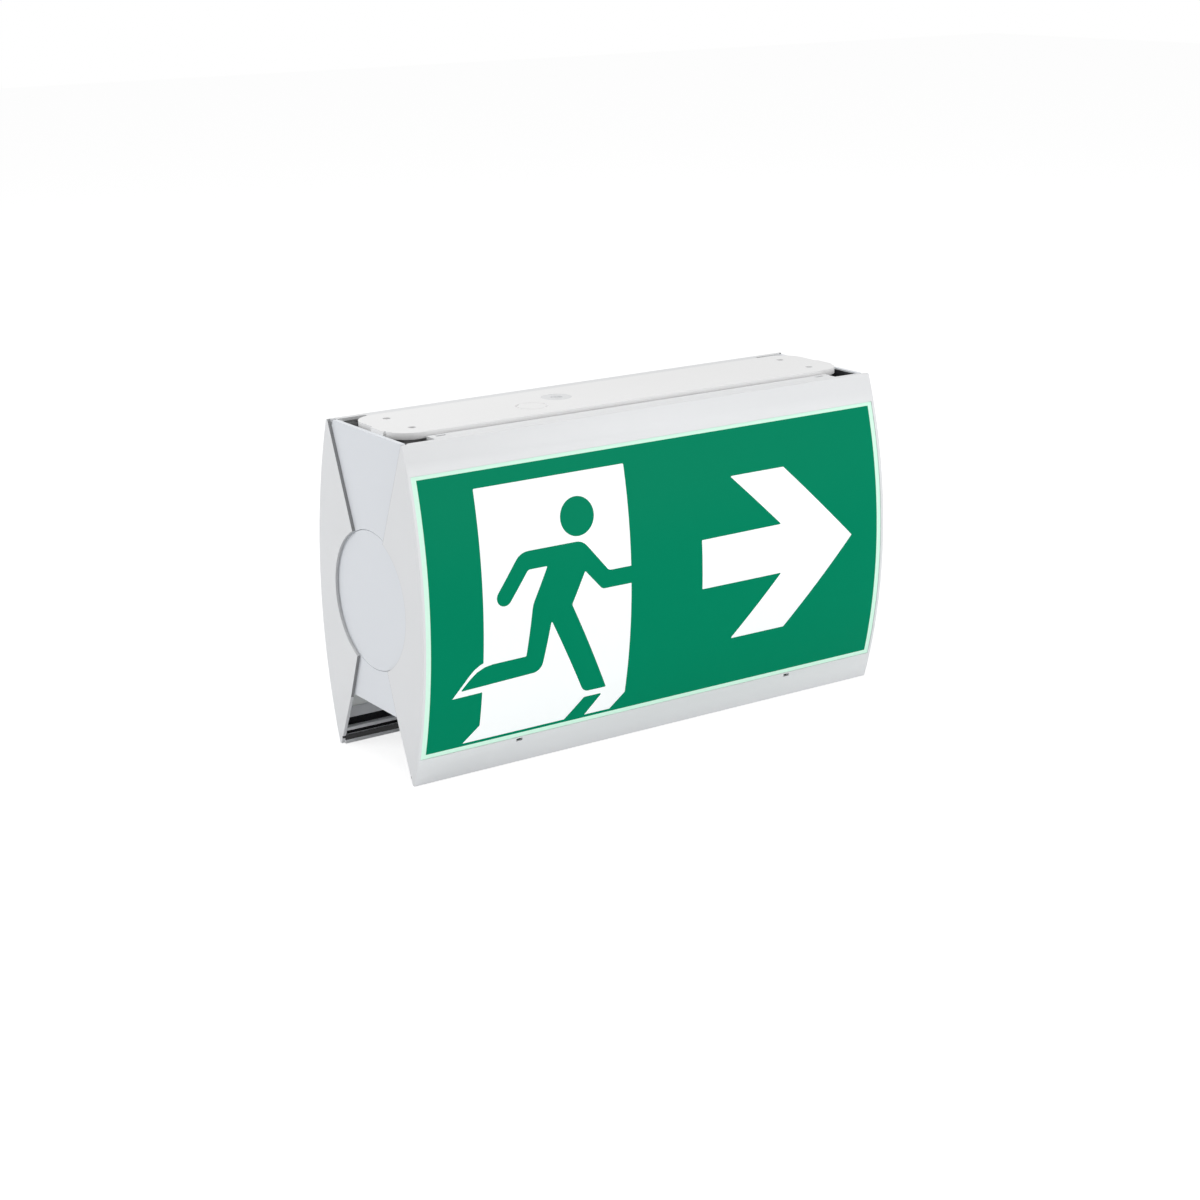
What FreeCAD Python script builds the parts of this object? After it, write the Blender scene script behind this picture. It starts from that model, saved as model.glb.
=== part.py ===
# Double-sided ceiling-mounted emergency exit light: two curved covers hooked onto a central chassis.
# Millimetres. X runs along the sign, the front face looks towards -Y, Z is up, and the origin is the
# middle of the mounting plate's ceiling face. Most pieces are drawn about the centre of the cover box
# and lowered into place together.
import FreeCAD, Part
import Sketcher
import math
import os
import re

V = FreeCAD.Vector

SIZES = [
    # covers
    ("cover_length", 361, "outside, over the cheeks"),
    ("cover_height", 215, "rim to rim"),
    ("rim_depth", 97, "outside, front rim to back rim"),
    ("cover_bulge", 17.6, "how far a face bows out past its rims"),
    ("cover_wall", 2.2, "curved wall"),
    ("cheek_thickness", 2, "end cheeks of a cover"),
    ("side_gap", 0.2, "play between a cheek and what lies inside it"),
    ("flange_thickness", 2, "flange along the top rim"),
    ("flange_reach", 15.3, "middle of the top flange, inwards from the rim"),
    ("flange_step", 20.3, "narrow ends of the top flange, from the end walls"),
    ("flange_end_reach", 4.5, "narrow ends of the top flange"),
    ("flange_end_gap", 0.4, "ends of the flange from the end walls"),
    ("lip_height", 5.5, "thick lip along the bottom rim"),
    ("lip_reach", 4, "lip, inwards from the rim"),
    ("rib_height", 2, "rib above the lip"),
    ("rib_gap", 3, "channel between lip and rib"),
    # opening and panels
    ("band_height", 18.2, "cover above and below the rebate for the panels"),
    ("ledge_width", 4, "ledge behind the panels"),
    ("ledge_thickness", 1.8, "ledge behind the panels"),
    ("panel_recess", 0.4, "legend panel below the cover's surface"),
    ("panel_gap", 0.2, "play round the panels"),
    ("legend_thickness", 2, "printed sheet"),
    ("diffuser_thickness", 1.5, "opal sheet"),
    # the seam between cheek and chassis
    ("bite_gap", 0.3, "round bite in a cheek, past the cap's recess"),
    ("bite_corner", 19.45, "bite's ends from the middle plane"),
    ("seam_inset", 1.7, "seam at the rims, inwards from the rim"),
    ("knee_inset", 18.3, "seam's knee, inwards from the rim"),
    ("knee_drop", 0.5, "seam's knee below the floor's underside"),
    # hinge and latch
    ("hinge_inset", 3.1, "hinge line inwards from the rim"),
    ("hinge_drop", 5, "hinge line below the top rim"),
    ("peg_radius", 1.2, "hinge peg on the chassis"),
    ("peg_length", 5, "hinge peg on the chassis"),
    ("peg_play", 0.15, "hook round the peg"),
    ("hook_width", 3, "hook of a cover, along the peg"),
    ("hook_wall", 1.5, "hook of a cover, beside the peg"),
    ("latch_spacing", 213.6, "between the two latch fingers of a side"),
    ("latch_width", 9, "latch finger"),
    ("latch_thickness", 1.8, "latch finger"),
    ("latch_inset", 2, "latch finger inside the rim"),
    ("barb_reach", 2.6, "barb of a latch finger"),
    ("barb_gap", 0.5, "barb below the ledge it holds"),
    ("slot_width", 4.6, "release slot in the face"),
    ("slot_height", 2, "release slot in the face"),
    ("slot_rise", 0.3, "release slot above the edge that the barb holds"),
    ("hook_hole_inset", 8, "small holes in the top flange, from its steps"),
    ("hook_hole_length", 7, "small holes in the top flange"),
    ("hook_hole_width", 2.4, "small holes in the top flange"),
    # chassis
    ("chassis_wall", 3, "end walls"),
    ("wall_lap", 3, "end wall behind the cheeks"),
    ("corner_gap", 3.6, "end wall's top corner inwards from the seam"),
    ("skirt_height", 38, "floor's underside above the bottom rims"),
    ("floor_thickness", 2.5, "floor"),
    ("floor_gap", 0.6, "floor's edges from the covers' ledges"),
    ("deck_thickness", 2.5, "top deck"),
    ("deck_inset", 4.5, "top deck's edges inwards from the rims"),
    ("guide_height", 42, "card guides of the control board"),
    ("guide_length", 5, "card guides of the control board"),
    ("guide_wall", 1.6, "card guides of the control board"),
    # end caps
    ("cap_radius", 44.5, "round cap"),
    ("cap_thickness", 1.5, "round cap"),
    ("cap_gap", 0.4, "round the cap in its recess"),
    ("cap_seat_gap", 0.1, "behind the cap"),
    ("cap_hole_radius", 32, "round hole behind the cap"),
    ("leg_count", 4, "snap legs of a cap"),
    ("leg_width", 9, "snap legs of a cap"),
    ("leg_thickness", 2, "snap legs of a cap"),
    ("leg_length", 4.5, "snap legs of a cap"),
    ("leg_play", 0.7, "snap legs from the edge of the hole"),
    # mounting plate
    ("plate_length", 347, "mounting plate"),
    ("plate_gap", 2.2, "plate's long edges from the covers' flanges"),
    ("plate_height", 12.5, "mounting plate"),
    ("plate_corner", 16, "corner radius"),
    ("plate_skin", 2.5, "ceiling side"),
    ("plate_flange", 4.2, "thickness of the flange round the plate"),
    ("plate_set_in", 8, "walls of the plate, inwards from its edge"),
    ("plate_wall", 2.2, "walls of the plate"),
    ("lug_width", 15, "lugs at the plate's ends"),
    ("lug_offset", 8, "lugs in front of the middle plane"),
    ("plate_proud", 2.5, "ceiling face above the rims"),
    ("fixing_end_inset", 18.5, "fixing holes from the plate's ends"),
    ("fixing_side_inset", 15, "fixing holes from the plate's long edges"),
    ("fixing_radius", 2.6, "fixing holes"),
    ("access_width", 10, "square openings in the deck below the fixing holes"),
    ("entry_offset", 36, "cable entry, from the middle towards the left"),
    ("entry_back", 6, "cable entry, behind the middle plane"),
    ("entry_radius", 10, "cable entry"),
    ("knockout_offset", 63.5, "knockout ring, from the middle towards the left"),
    ("knockout_front", 8, "knockout ring, in front of the middle plane"),
    ("knockout_radius", 10.5, "knockout ring"),
    ("groove_width", 1.2, "knockout ring"),
    ("groove_depth", 0.8, "knockout ring"),
    ("boss_width", 8, "square bosses that the deck is screwed to"),
    ("boss_end_inset", 33.5, "bosses from the plate's ends"),
    ("boss_side_inset", 21, "bosses from the plate's long edges"),
    # grommet
    ("grommet_flange", 2.2, "grommet's flange past the hole"),
    ("grommet_flange_height", 1.8, "grommet's flange"),
    ("grommet_bore", 4, "radius of the cable's hole"),
    ("seat_play", 0.1, "between seated pieces"),
    # reflectors and light sources
    ("bay_depth", 44, "gear bay between the reflectors"),
    ("reflector_inset", 23.3, "reflectors from the end walls"),
    ("sheet_thickness", 0.8, "reflectors"),
    ("foot_inset", 2, "reflectors' feet and heads, inwards from the deck's edges"),
    ("catch_inset", 32, "catches over the feet, from the reflectors' ends"),
    ("catch_width", 8, "catches over the feet"),
    ("catch_wall", 1.6, "catches over the feet"),
    ("catch_reach", 2.5, "catches over the feet"),
    ("board_inset", 7, "light boards from the reflectors' ends"),
    ("board_height", 12, "light boards"),
    ("board_thickness", 1.6, "all circuit boards"),
    ("board_spacing", 78, "upper to lower light board"),
    ("led_size", 3.4, "light source, square"),
    ("led_height", 0.8, "light source"),
    ("led_pitch", 26, "along a board"),
    # battery
    ("cell_radius", 9, "each stick of the battery"),
    ("battery_length", 134, "battery"),
    ("battery_gap", 3, "battery from the switch"),
    ("cradle_wall", 1.6, "battery cradle"),
    ("cradle_inset", 7, "battery's ends past the cradle"),
    ("cradle_height", 20, "battery cradle"),
    ("cradle_play", 0.3, "round the battery"),
    # control board
    ("control_gap", 3.3, "control board from the status lens"),
    ("control_length", 116, "control board"),
    ("control_height", 74, "control board"),
    ("control_offset", 13.2, "control board in front of the middle plane"),
    ("control_clearance", 4, "control board above the floor"),
    ("guide_grip", 3, "how far a card guide holds the board"),
    ("slot_play", 0.2, "round the board in a card guide"),
    ("transformer_length", 26, "transformer"),
    ("transformer_height", 22, "transformer"),
    ("transformer_depth", 20, "transformer"),
    ("transformer_inset", 22, "transformer from the board's inner end"),
    ("transformer_drop", 5.3, "transformer from the board's top edge"),
    ("capacitor_radius", 5, "capacitors"),
    ("capacitor_length", 18, "capacitors"),
    ("capacitor_pitch", 14, "capacitors"),
    ("capacitor_gap", 19, "capacitors from the transformer"),
    ("connector_length", 14, "board connectors"),
    ("connector_height", 7, "board connectors"),
    ("connector_depth", 8, "board connectors"),
    ("connector_pitch", 29, "board connectors, and the first from the board's end"),
    ("connector_rise", 18.7, "board connectors from the board's lower edge"),
    # mains terminal
    ("terminal_offset", 86, "terminal block from the middle, towards the left"),
    ("terminal_length", 36, "terminal block"),
    ("terminal_depth", 20, "terminal block"),
    ("terminal_height", 16, "terminal block"),
    ("terminal_pitch", 10, "poles"),
    ("wire_mouth", 5, "square wire mouths"),
    ("mouth_rise", 3.9, "wire mouths from the block's lower face"),
    # test button and status light
    ("button_offset", 4, "button from the middle, towards the right"),
    ("button_radius", 4, "button's cap"),
    ("button_proud", 3, "cap below the floor"),
    ("button_travel", 2, "stroke"),
    ("button_play", 0.3, "round the button"),
    ("button_flange", 1.3, "button's flange past its cap"),
    ("button_flange_height", 1.2, "button's flange"),
    ("stem_radius", 1.8, "button's stem"),
    ("tube_wall", 1.4, "guide tube"),
    ("tube_height", 9, "guide tube"),
    ("spring_wire", 0.6, "spring wire"),
    ("spring_turns", 2.5, "spring"),
    ("switch_length", 14, "switch"),
    ("switch_depth", 13, "switch"),
    ("switch_height", 8, "switch"),
    ("recess_play", 0.5, "plunger recess in the switch, past the button's stroke"),
    ("lens_spacing", 13, "status lens from the button"),
    ("lens_radius", 2.5, "status lens"),
    ("lens_flange", 1.2, "lens flange past its body"),
    ("lens_proud", 1.2, "lens below the floor"),
    # edge strips
    ("strip_thickness", 1, "black strips in the channels"),
    ("strip_end_gap", 3, "strips from the cheeks"),
]

doc = FreeCAD.newDocument("exit_light")
sheet = doc.addObject("Spreadsheet::Sheet", "Sizes")
for row, (alias, size, note) in enumerate(SIZES, start=1):
    sheet.set(f"A{row}", alias)
    sheet.set(f"B{row}", str(size))
    sheet.setAlias(f"B{row}", alias)
    sheet.set(f"C{row}", note)
doc.recompute()

# Places that several pieces share, as expressions on the sheet.
FACE_RADIUS = "((cover_height^2 / 4 + cover_bulge^2) / (2 * cover_bulge))"
FACE_CENTRE = f"({FACE_RADIUS} - rim_depth / 2 - cover_bulge)"
BOX_CENTRE = "(-plate_proud - cover_height / 2)"
RIM = "(cover_height / 2)"
CHEEK_INNER = "(cover_length / 2 - cheek_thickness)"
CHASSIS_FACE = f"({CHEEK_INNER} - side_gap)"
CHASSIS_INNER = f"({CHASSIS_FACE} - chassis_wall)"
HINGE_Y = "(rim_depth / 2 - hinge_inset)"
HINGE_Z = "(cover_height / 2 - hinge_drop)"
WINDOW = "(cover_height / 2 - band_height)"
PANEL_STACK = "(panel_recess + legend_thickness + diffuser_thickness)"
LEDGE_BACK = f"({PANEL_STACK} + ledge_thickness)"
STEP = f"({WINDOW} + cover_wall)"
FLOOR_UNDER = "(skirt_height - cover_height / 2)"
FLOOR_TOP = f"({FLOOR_UNDER} + floor_thickness)"
DECK_TOP = "(cover_height / 2 + plate_proud - plate_height)"
DECK_UNDER = f"({DECK_TOP} - deck_thickness)"
LATCH_Y = "(rim_depth / 2 - latch_inset)"
LIP_TOP = "(lip_height - cover_height / 2)"
RIB_TOP = f"({LIP_TOP} + rib_gap + rib_height)"
DECK_EDGE = "(rim_depth / 2 - deck_inset)"
FLANGE_TIP = "(rim_depth / 2 - flange_reach)"
FLANGE_END = f"({CHASSIS_INNER} - flange_step)"
BITE_RADIUS = "(cap_radius + cap_gap + bite_gap)"
BITE_JOIN = f"sqrt({BITE_RADIUS}^2 - bite_corner^2)"
PLATE_EDGE = f"({FLANGE_TIP} - plate_gap)"
FIXING_X = "(plate_length / 2 - fixing_end_inset)"
FIXING_Y = f"({PLATE_EDGE} - fixing_side_inset)"
BOSS_X = "(plate_length / 2 - boss_end_inset)"
BOSS_Y = f"({PLATE_EDGE} - boss_side_inset)"
REFLECTOR_END = f"({CHASSIS_INNER} - reflector_inset)"
REFLECTOR_TIP = f"({DECK_EDGE} - foot_inset)"
BATTERY_END = "(button_offset - switch_length / 2 - battery_gap)"
CONTROL_START = "(button_offset + lens_spacing + lens_radius + lens_flange + control_gap)"
CONTROL_Y = "(-control_offset)"


def bound(text):
    """Points every size named in an expression at the sheet."""
    return re.sub(r"\b[a-z]+(?:_[a-z]+)+\b", r"Sizes.\g<0>", text)


def value(text):
    """What an expression on the sheet comes to."""
    return float(sheet.evalExpression(bound(text)))


def face_y(inset, height):
    """Distance from the middle plane of a face set in from the covers' surface, at a height."""
    return f"(sqrt(({FACE_RADIUS} - ({inset}))^2 - ({height})^2) - {FACE_CENTRE})"


def new_body(label, drop=BOX_CENTRE, turned=False):
    """A body whose own zero is the centre of the cover box; a turned one faces the back."""
    body = doc.addObject("PartDesign::Body", label)
    body.Label = label
    if turned:
        body.Placement = FreeCAD.Placement(V(0, 0, 0), FreeCAD.Rotation(V(0, 0, 1), 180))
    body.setExpression("Placement.Base.z", bound(drop))
    return body


def plane_of(body, role):
    return next(f for f in body.Origin.OriginFeatures if f.Role == role)


def new_sketch(body, role, offset="0"):
    sketch = body.newObject("Sketcher::SketchObject", body.Name + "_sketch")
    sketch.AttachmentSupport = [(plane_of(body, role), "")]
    sketch.MapMode = "FlatFace"
    sketch.setExpression("AttachmentOffset.Base.z", bound(offset))
    return sketch


def pin_point(sketch, geometry, position, across, up):
    """Holds one point of a sketch at a place given by two expressions."""
    for kind, text in (("DistanceX", across), ("DistanceY", up)):
        index = sketch.addConstraint(Sketcher.Constraint(kind, -1, 1, geometry, position, value(text)))
        sketch.setExpression(f"Constraints[{index}]", bound(text))


def outline(sketch, corners):
    """A closed outline. A corner is (across, up), or (across, up, radius, side) where the side that
    leaves it is an arc: side 1 has its centre on the left of the way travelled, -1 on the right."""
    points = [V(value(c[0]), value(c[1]), 0) for c in corners]
    ends = []
    for i, corner in enumerate(corners):
        here = points[i]
        there = points[(i + 1) % len(points)]
        if len(corner) == 2:
            index = sketch.addGeometry(Part.LineSegment(here, there))
            ends.append((index, 1, 2))
            continue
        radius = value(corner[2])
        chord = there - here
        left = V(-chord.y, chord.x, 0).normalize()
        rise = math.sqrt(radius**2 - (chord.Length / 2) ** 2)
        centre = (here + there) * 0.5 + left * (rise * corner[3])
        start, stop = (here, there) if corner[3] > 0 else (there, here)
        first = math.atan2(start.y - centre.y, start.x - centre.x)
        last = math.atan2(stop.y - centre.y, stop.x - centre.x)
        circle = Part.Circle(centre, V(0, 0, 1), radius)
        index = sketch.addGeometry(Part.ArcOfCircle(circle, first, last))
        bend = sketch.addConstraint(Sketcher.Constraint("Radius", index, radius))
        sketch.setExpression(f"Constraints[{bend}]", bound(corner[2]))
        ends.append((index, 1, 2) if corner[3] > 0 else (index, 2, 1))
    for i, corner in enumerate(corners):
        index, begin, _ = ends[i]
        before, _, finish = ends[i - 1]
        sketch.addConstraint(Sketcher.Constraint("Coincident", before, finish, index, begin))
        pin_point(sketch, index, begin, corner[0], corner[1])


def rectangle(sketch, left, low, right, high):
    outline(sketch, [(left, low), (right, low), (right, high), (left, high)])


def circle(sketch, across, up, radius):
    index = sketch.addGeometry(Part.Circle(V(value(across), value(up), 0), V(0, 0, 1), value(radius)))
    size = sketch.addConstraint(Sketcher.Constraint("Radius", index, value(radius)))
    sketch.setExpression(f"Constraints[{size}]", bound(radius))
    pin_point(sketch, index, 3, across, up)


def rounded_rectangle(sketch, half_long, half_short, corner):
    """Centred on the sketch's zero; every corner is a quarter circle."""
    steps = []
    for across, up, first in ((1, -1, True), (1, 1, False), (-1, 1, True), (-1, -1, False)):
        near = (f"{across} * ({half_long} - {corner})", f"{up} * ({half_short})")
        far = (f"{across} * ({half_long})", f"{up} * ({half_short} - {corner})")
        start, end = (near, far) if first else (far, near)
        steps.append((*start, corner, 1))
        steps.append(end)
    outline(sketch, steps)


def extrude(body, kind, sketch, length, both=False, reverse=False):
    """A pad or pocket; both means half the length to each side of the sketch."""
    feature = body.newObject(kind, body.Name + "_step")
    feature.Profile = sketch
    if both:
        feature.SideType = "Symmetric"
    feature.Reversed = reverse
    feature.setExpression("Length", bound(length))
    return feature


def pad(body, sketch, length, both=False, reverse=False):
    return extrude(body, "PartDesign::Pad", sketch, length, both, reverse)


def pocket(body, sketch, length, both=False, reverse=False):
    """Cuts, and makes sure that something was cut away."""
    doc.recompute()
    before = body.Shape.Volume
    feature = extrude(body, "PartDesign::Pocket", sketch, length, both, reverse)
    doc.recompute()
    if body.Shape.Volume > before - 0.01:
        raise ValueError(f"a pocket in {body.Label} cut nothing")
    return feature


def mirror(body, features, role="YZ_Plane"):
    feature = body.newObject("PartDesign::Mirrored", body.Name + "_mirror")
    feature.Originals = features
    feature.MirrorPlane = (plane_of(body, role), [""])
    body.Tip = feature
    doc.recompute()
    return feature


def turn(body, corners):
    """Revolves a half section drawn across (radius) and up about the body's upright axis."""
    sketch = new_sketch(body, "XZ_Plane")
    outline(sketch, corners)
    feature = body.newObject("PartDesign::Revolution", body.Name + "_turned")
    feature.Profile = sketch
    feature.ReferenceAxis = (sketch, ["V_Axis"])
    return feature


def group(label, shapes):
    """Loose like pieces that share one name, given about the centre of the cover box."""
    feature = doc.addObject("Part::Feature", label)
    feature.Label = label
    feature.Shape = Part.makeCompound(shapes)
    feature.Placement = FreeCAD.Placement(V(0, 0, value(BOX_CENTRE)), FreeCAD.Rotation())
    return feature


def block(size, centre):
    shape = Part.makeBox(*size)
    shape.translate(centre - V(*size) * 0.5)
    return shape


# A cover is one moulding: a band above and below the window, joined by a cheek at each end.
def make_cover(label, turned):
    body = new_body(label, turned=turned)

    def outer(height):
        return f"-{face_y('0', height)}"

    def inner(height):
        return f"-{face_y('cover_wall', height)}"

    def seat(height):
        return f"-{face_y(PANEL_STACK, height)}"

    def ledge(height):
        return f"-{face_y(LEDGE_BACK, height)}"

    skin = f"({FACE_RADIUS} - cover_wall)"
    under = f"({RIM} - flange_thickness)"
    inner_edge = f"({WINDOW} - ledge_width)"
    lip_tip = "(lip_reach - rim_depth / 2)"
    rib_base = f"({LIP_TOP} + rib_gap)"

    bands = new_sketch(body, "YZ_Plane")
    outline(bands, [
        ("-rim_depth / 2", RIM, FACE_RADIUS, 1),
        (outer(WINDOW), WINDOW),
        (seat(WINDOW), WINDOW),
        (seat(inner_edge), inner_edge),
        (ledge(inner_edge), inner_edge),
        (ledge(STEP), STEP),
        (inner(STEP), STEP, skin, -1),
        (inner(RIM), RIM),
    ])
    outline(bands, [
        (outer(WINDOW), f"-{WINDOW}", FACE_RADIUS, 1),
        ("-rim_depth / 2", f"-{RIM}"),
        (lip_tip, f"-{RIM}"),
        (lip_tip, LIP_TOP),
        (inner(LIP_TOP), LIP_TOP, skin, -1),
        (inner(rib_base), rib_base),
        (lip_tip, rib_base),
        (lip_tip, RIB_TOP),
        (inner(RIB_TOP), RIB_TOP, skin, -1),
        (inner(STEP), f"-{STEP}"),
        (ledge(STEP), f"-{STEP}"),
        (ledge(inner_edge), f"-{inner_edge}"),
        (seat(inner_edge), f"-{inner_edge}"),
        (seat(WINDOW), f"-{WINDOW}"),
    ])
    body.AllowCompound = True
    pad(body, bands, f"2 * {CHEEK_INNER}", both=True)

    # The cheek follows the face outside and the chassis inside, with a round bite for the end cap.
    cheek = new_sketch(body, "YZ_Plane", f"-{CHEEK_INNER}")
    outline(cheek, [
        ("-rim_depth / 2", RIM, FACE_RADIUS, 1),
        ("-rim_depth / 2", f"-{RIM}"),
        ("seam_inset - rim_depth / 2", f"-{RIM}"),
        ("knee_inset - rim_depth / 2", f"{FLOOR_UNDER} - knee_drop"),
        ("-bite_corner", f"-{BITE_JOIN}", BITE_RADIUS, -1),
        ("-bite_corner", BITE_JOIN),
        ("seam_inset - rim_depth / 2", RIM),
    ])
    left_cheek = pad(body, cheek, "cheek_thickness", reverse=True)

    # The ledge carries on down the inside of each cheek.
    side = new_sketch(body, "YZ_Plane", f"-{CHEEK_INNER}")
    outline(side, [
        (seat(STEP), STEP, f"({FACE_RADIUS} - {PANEL_STACK})", 1),
        (seat(STEP), f"-{STEP}"),
        (ledge(STEP), f"-{STEP}", f"({FACE_RADIUS} - {LEDGE_BACK})", -1),
        (ledge(STEP), STEP),
    ])
    left_ledge = pad(body, side, "ledge_width")

    # Hook over the hinge peg, open below so that the cover lifts off.
    eye = "(peg_radius + peg_play)"
    grip = f"({eye} + hook_wall)"
    hook = new_sketch(body, "YZ_Plane", f"side_gap + hook_width / 2 + peg_length / 2 - {CHASSIS_INNER}")
    outline(hook, [
        (f"-{HINGE_Y} - {grip}", under),
        (f"-{HINGE_Y} - {grip}", f"{HINGE_Z} - {eye}"),
        (f"-{HINGE_Y} - {eye}", f"{HINGE_Z} - {eye}"),
        (f"-{HINGE_Y} - {eye}", HINGE_Z, eye, -1),
        (f"-{HINGE_Y}", f"{HINGE_Z} + {eye}", eye, -1),
        (f"{eye} - {HINGE_Y}", HINGE_Z),
        (f"{eye} - {HINGE_Y}", f"{HINGE_Z} - {eye}"),
        (f"{grip} - {HINGE_Y}", f"{HINGE_Z} - {eye}"),
        (f"{grip} - {HINGE_Y}", under),
    ])
    left_hook = pad(body, hook, "hook_width", reverse=True)
    mirror(body, [left_cheek, left_ledge, left_hook])

    # The top flange is narrow towards its ends and stops short of the chassis end walls.
    flange = new_sketch(body, "XY_Plane", RIM)
    root = "(cover_wall / 2 - rim_depth / 2)"
    narrow = "(flange_end_reach - rim_depth / 2)"
    wide = f"(-{FLANGE_TIP})"
    far = f"({CHASSIS_INNER} - flange_end_gap)"
    outline(flange, [
        (f"-{far}", root),
        (far, root),
        (far, narrow),
        (FLANGE_END, narrow),
        (FLANGE_END, wide),
        (f"-{FLANGE_END}", wide),
        (f"-{FLANGE_END}", narrow),
        (f"-{far}", narrow),
    ])
    pad(body, flange, "flange_thickness", reverse=True)

    holes = new_sketch(body, "XY_Plane", RIM)
    slots = new_sketch(body, "XZ_Plane", "rim_depth / 2 + cover_bulge")
    slot_level = f"(slot_rise - {STEP})"
    for sign in ("-1", "1"):
        middle = f"{sign} * ({FLANGE_END} - hook_hole_inset)"
        rectangle(holes, f"{middle} - hook_hole_length / 2", f"{wide} - 2 * hook_hole_width",
                  f"{middle} + hook_hole_length / 2", f"{wide} - hook_hole_width")
        middle = f"{sign} * latch_spacing / 2"
        rectangle(slots, f"{middle} - slot_width / 2", f"{slot_level} - slot_height / 2",
                  f"{middle} + slot_width / 2", f"{slot_level} + slot_height / 2")
    pocket(body, holes, "flange_thickness")
    pocket(body, slots, f"cover_bulge + {LEDGE_BACK}")
    return body


# The panels are flat sheets bent into the window; the diffuser lies behind the printed sheet.
def make_panel(label, turned, outside, inside):
    body = new_body(label, turned=turned)
    top = f"({WINDOW} - panel_gap)"
    sketch = new_sketch(body, "YZ_Plane")
    outline(sketch, [
        (f"-{face_y(outside, top)}", top, f"({FACE_RADIUS} - ({outside}))", 1),
        (f"-{face_y(outside, top)}", f"-{top}"),
        (f"-{face_y(inside, top)}", f"-{top}", f"({FACE_RADIUS} - ({inside}))", -1),
        (f"-{face_y(inside, top)}", top),
    ])
    pad(body, sketch, f"2 * ({CHEEK_INNER} - panel_gap)", both=True)
    return body


# Black strips in the two channels inside a cover's skirt.
def make_strips(label, turned):
    length = 2 * (value(CHEEK_INNER) - value("strip_end_gap"))
    wall = value(f"{FACE_RADIUS} - cover_wall")
    centre = value(FACE_CENTRE)
    shapes = []
    for low, high in ((value(LIP_TOP), value(LIP_TOP) + value("rib_gap")), (value(RIB_TOP), -value(STEP))):
        end = V(-length / 2, centre, 0)
        tube = Part.makeCylinder(wall, length, end, V(1, 0, 0))
        core = Part.makeCylinder(wall - value("strip_thickness"), length, end, V(1, 0, 0))
        height = high - low - 2 * value("seat_play")
        slab = block((length, wall, height), V(0, -wall / 2, (low + high) / 2))
        shapes.append(tube.cut(core).common(slab))
    feature = group(label, shapes)
    if turned:
        feature.Placement.Rotation = FreeCAD.Rotation(V(0, 0, 1), 180)
    return feature


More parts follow.
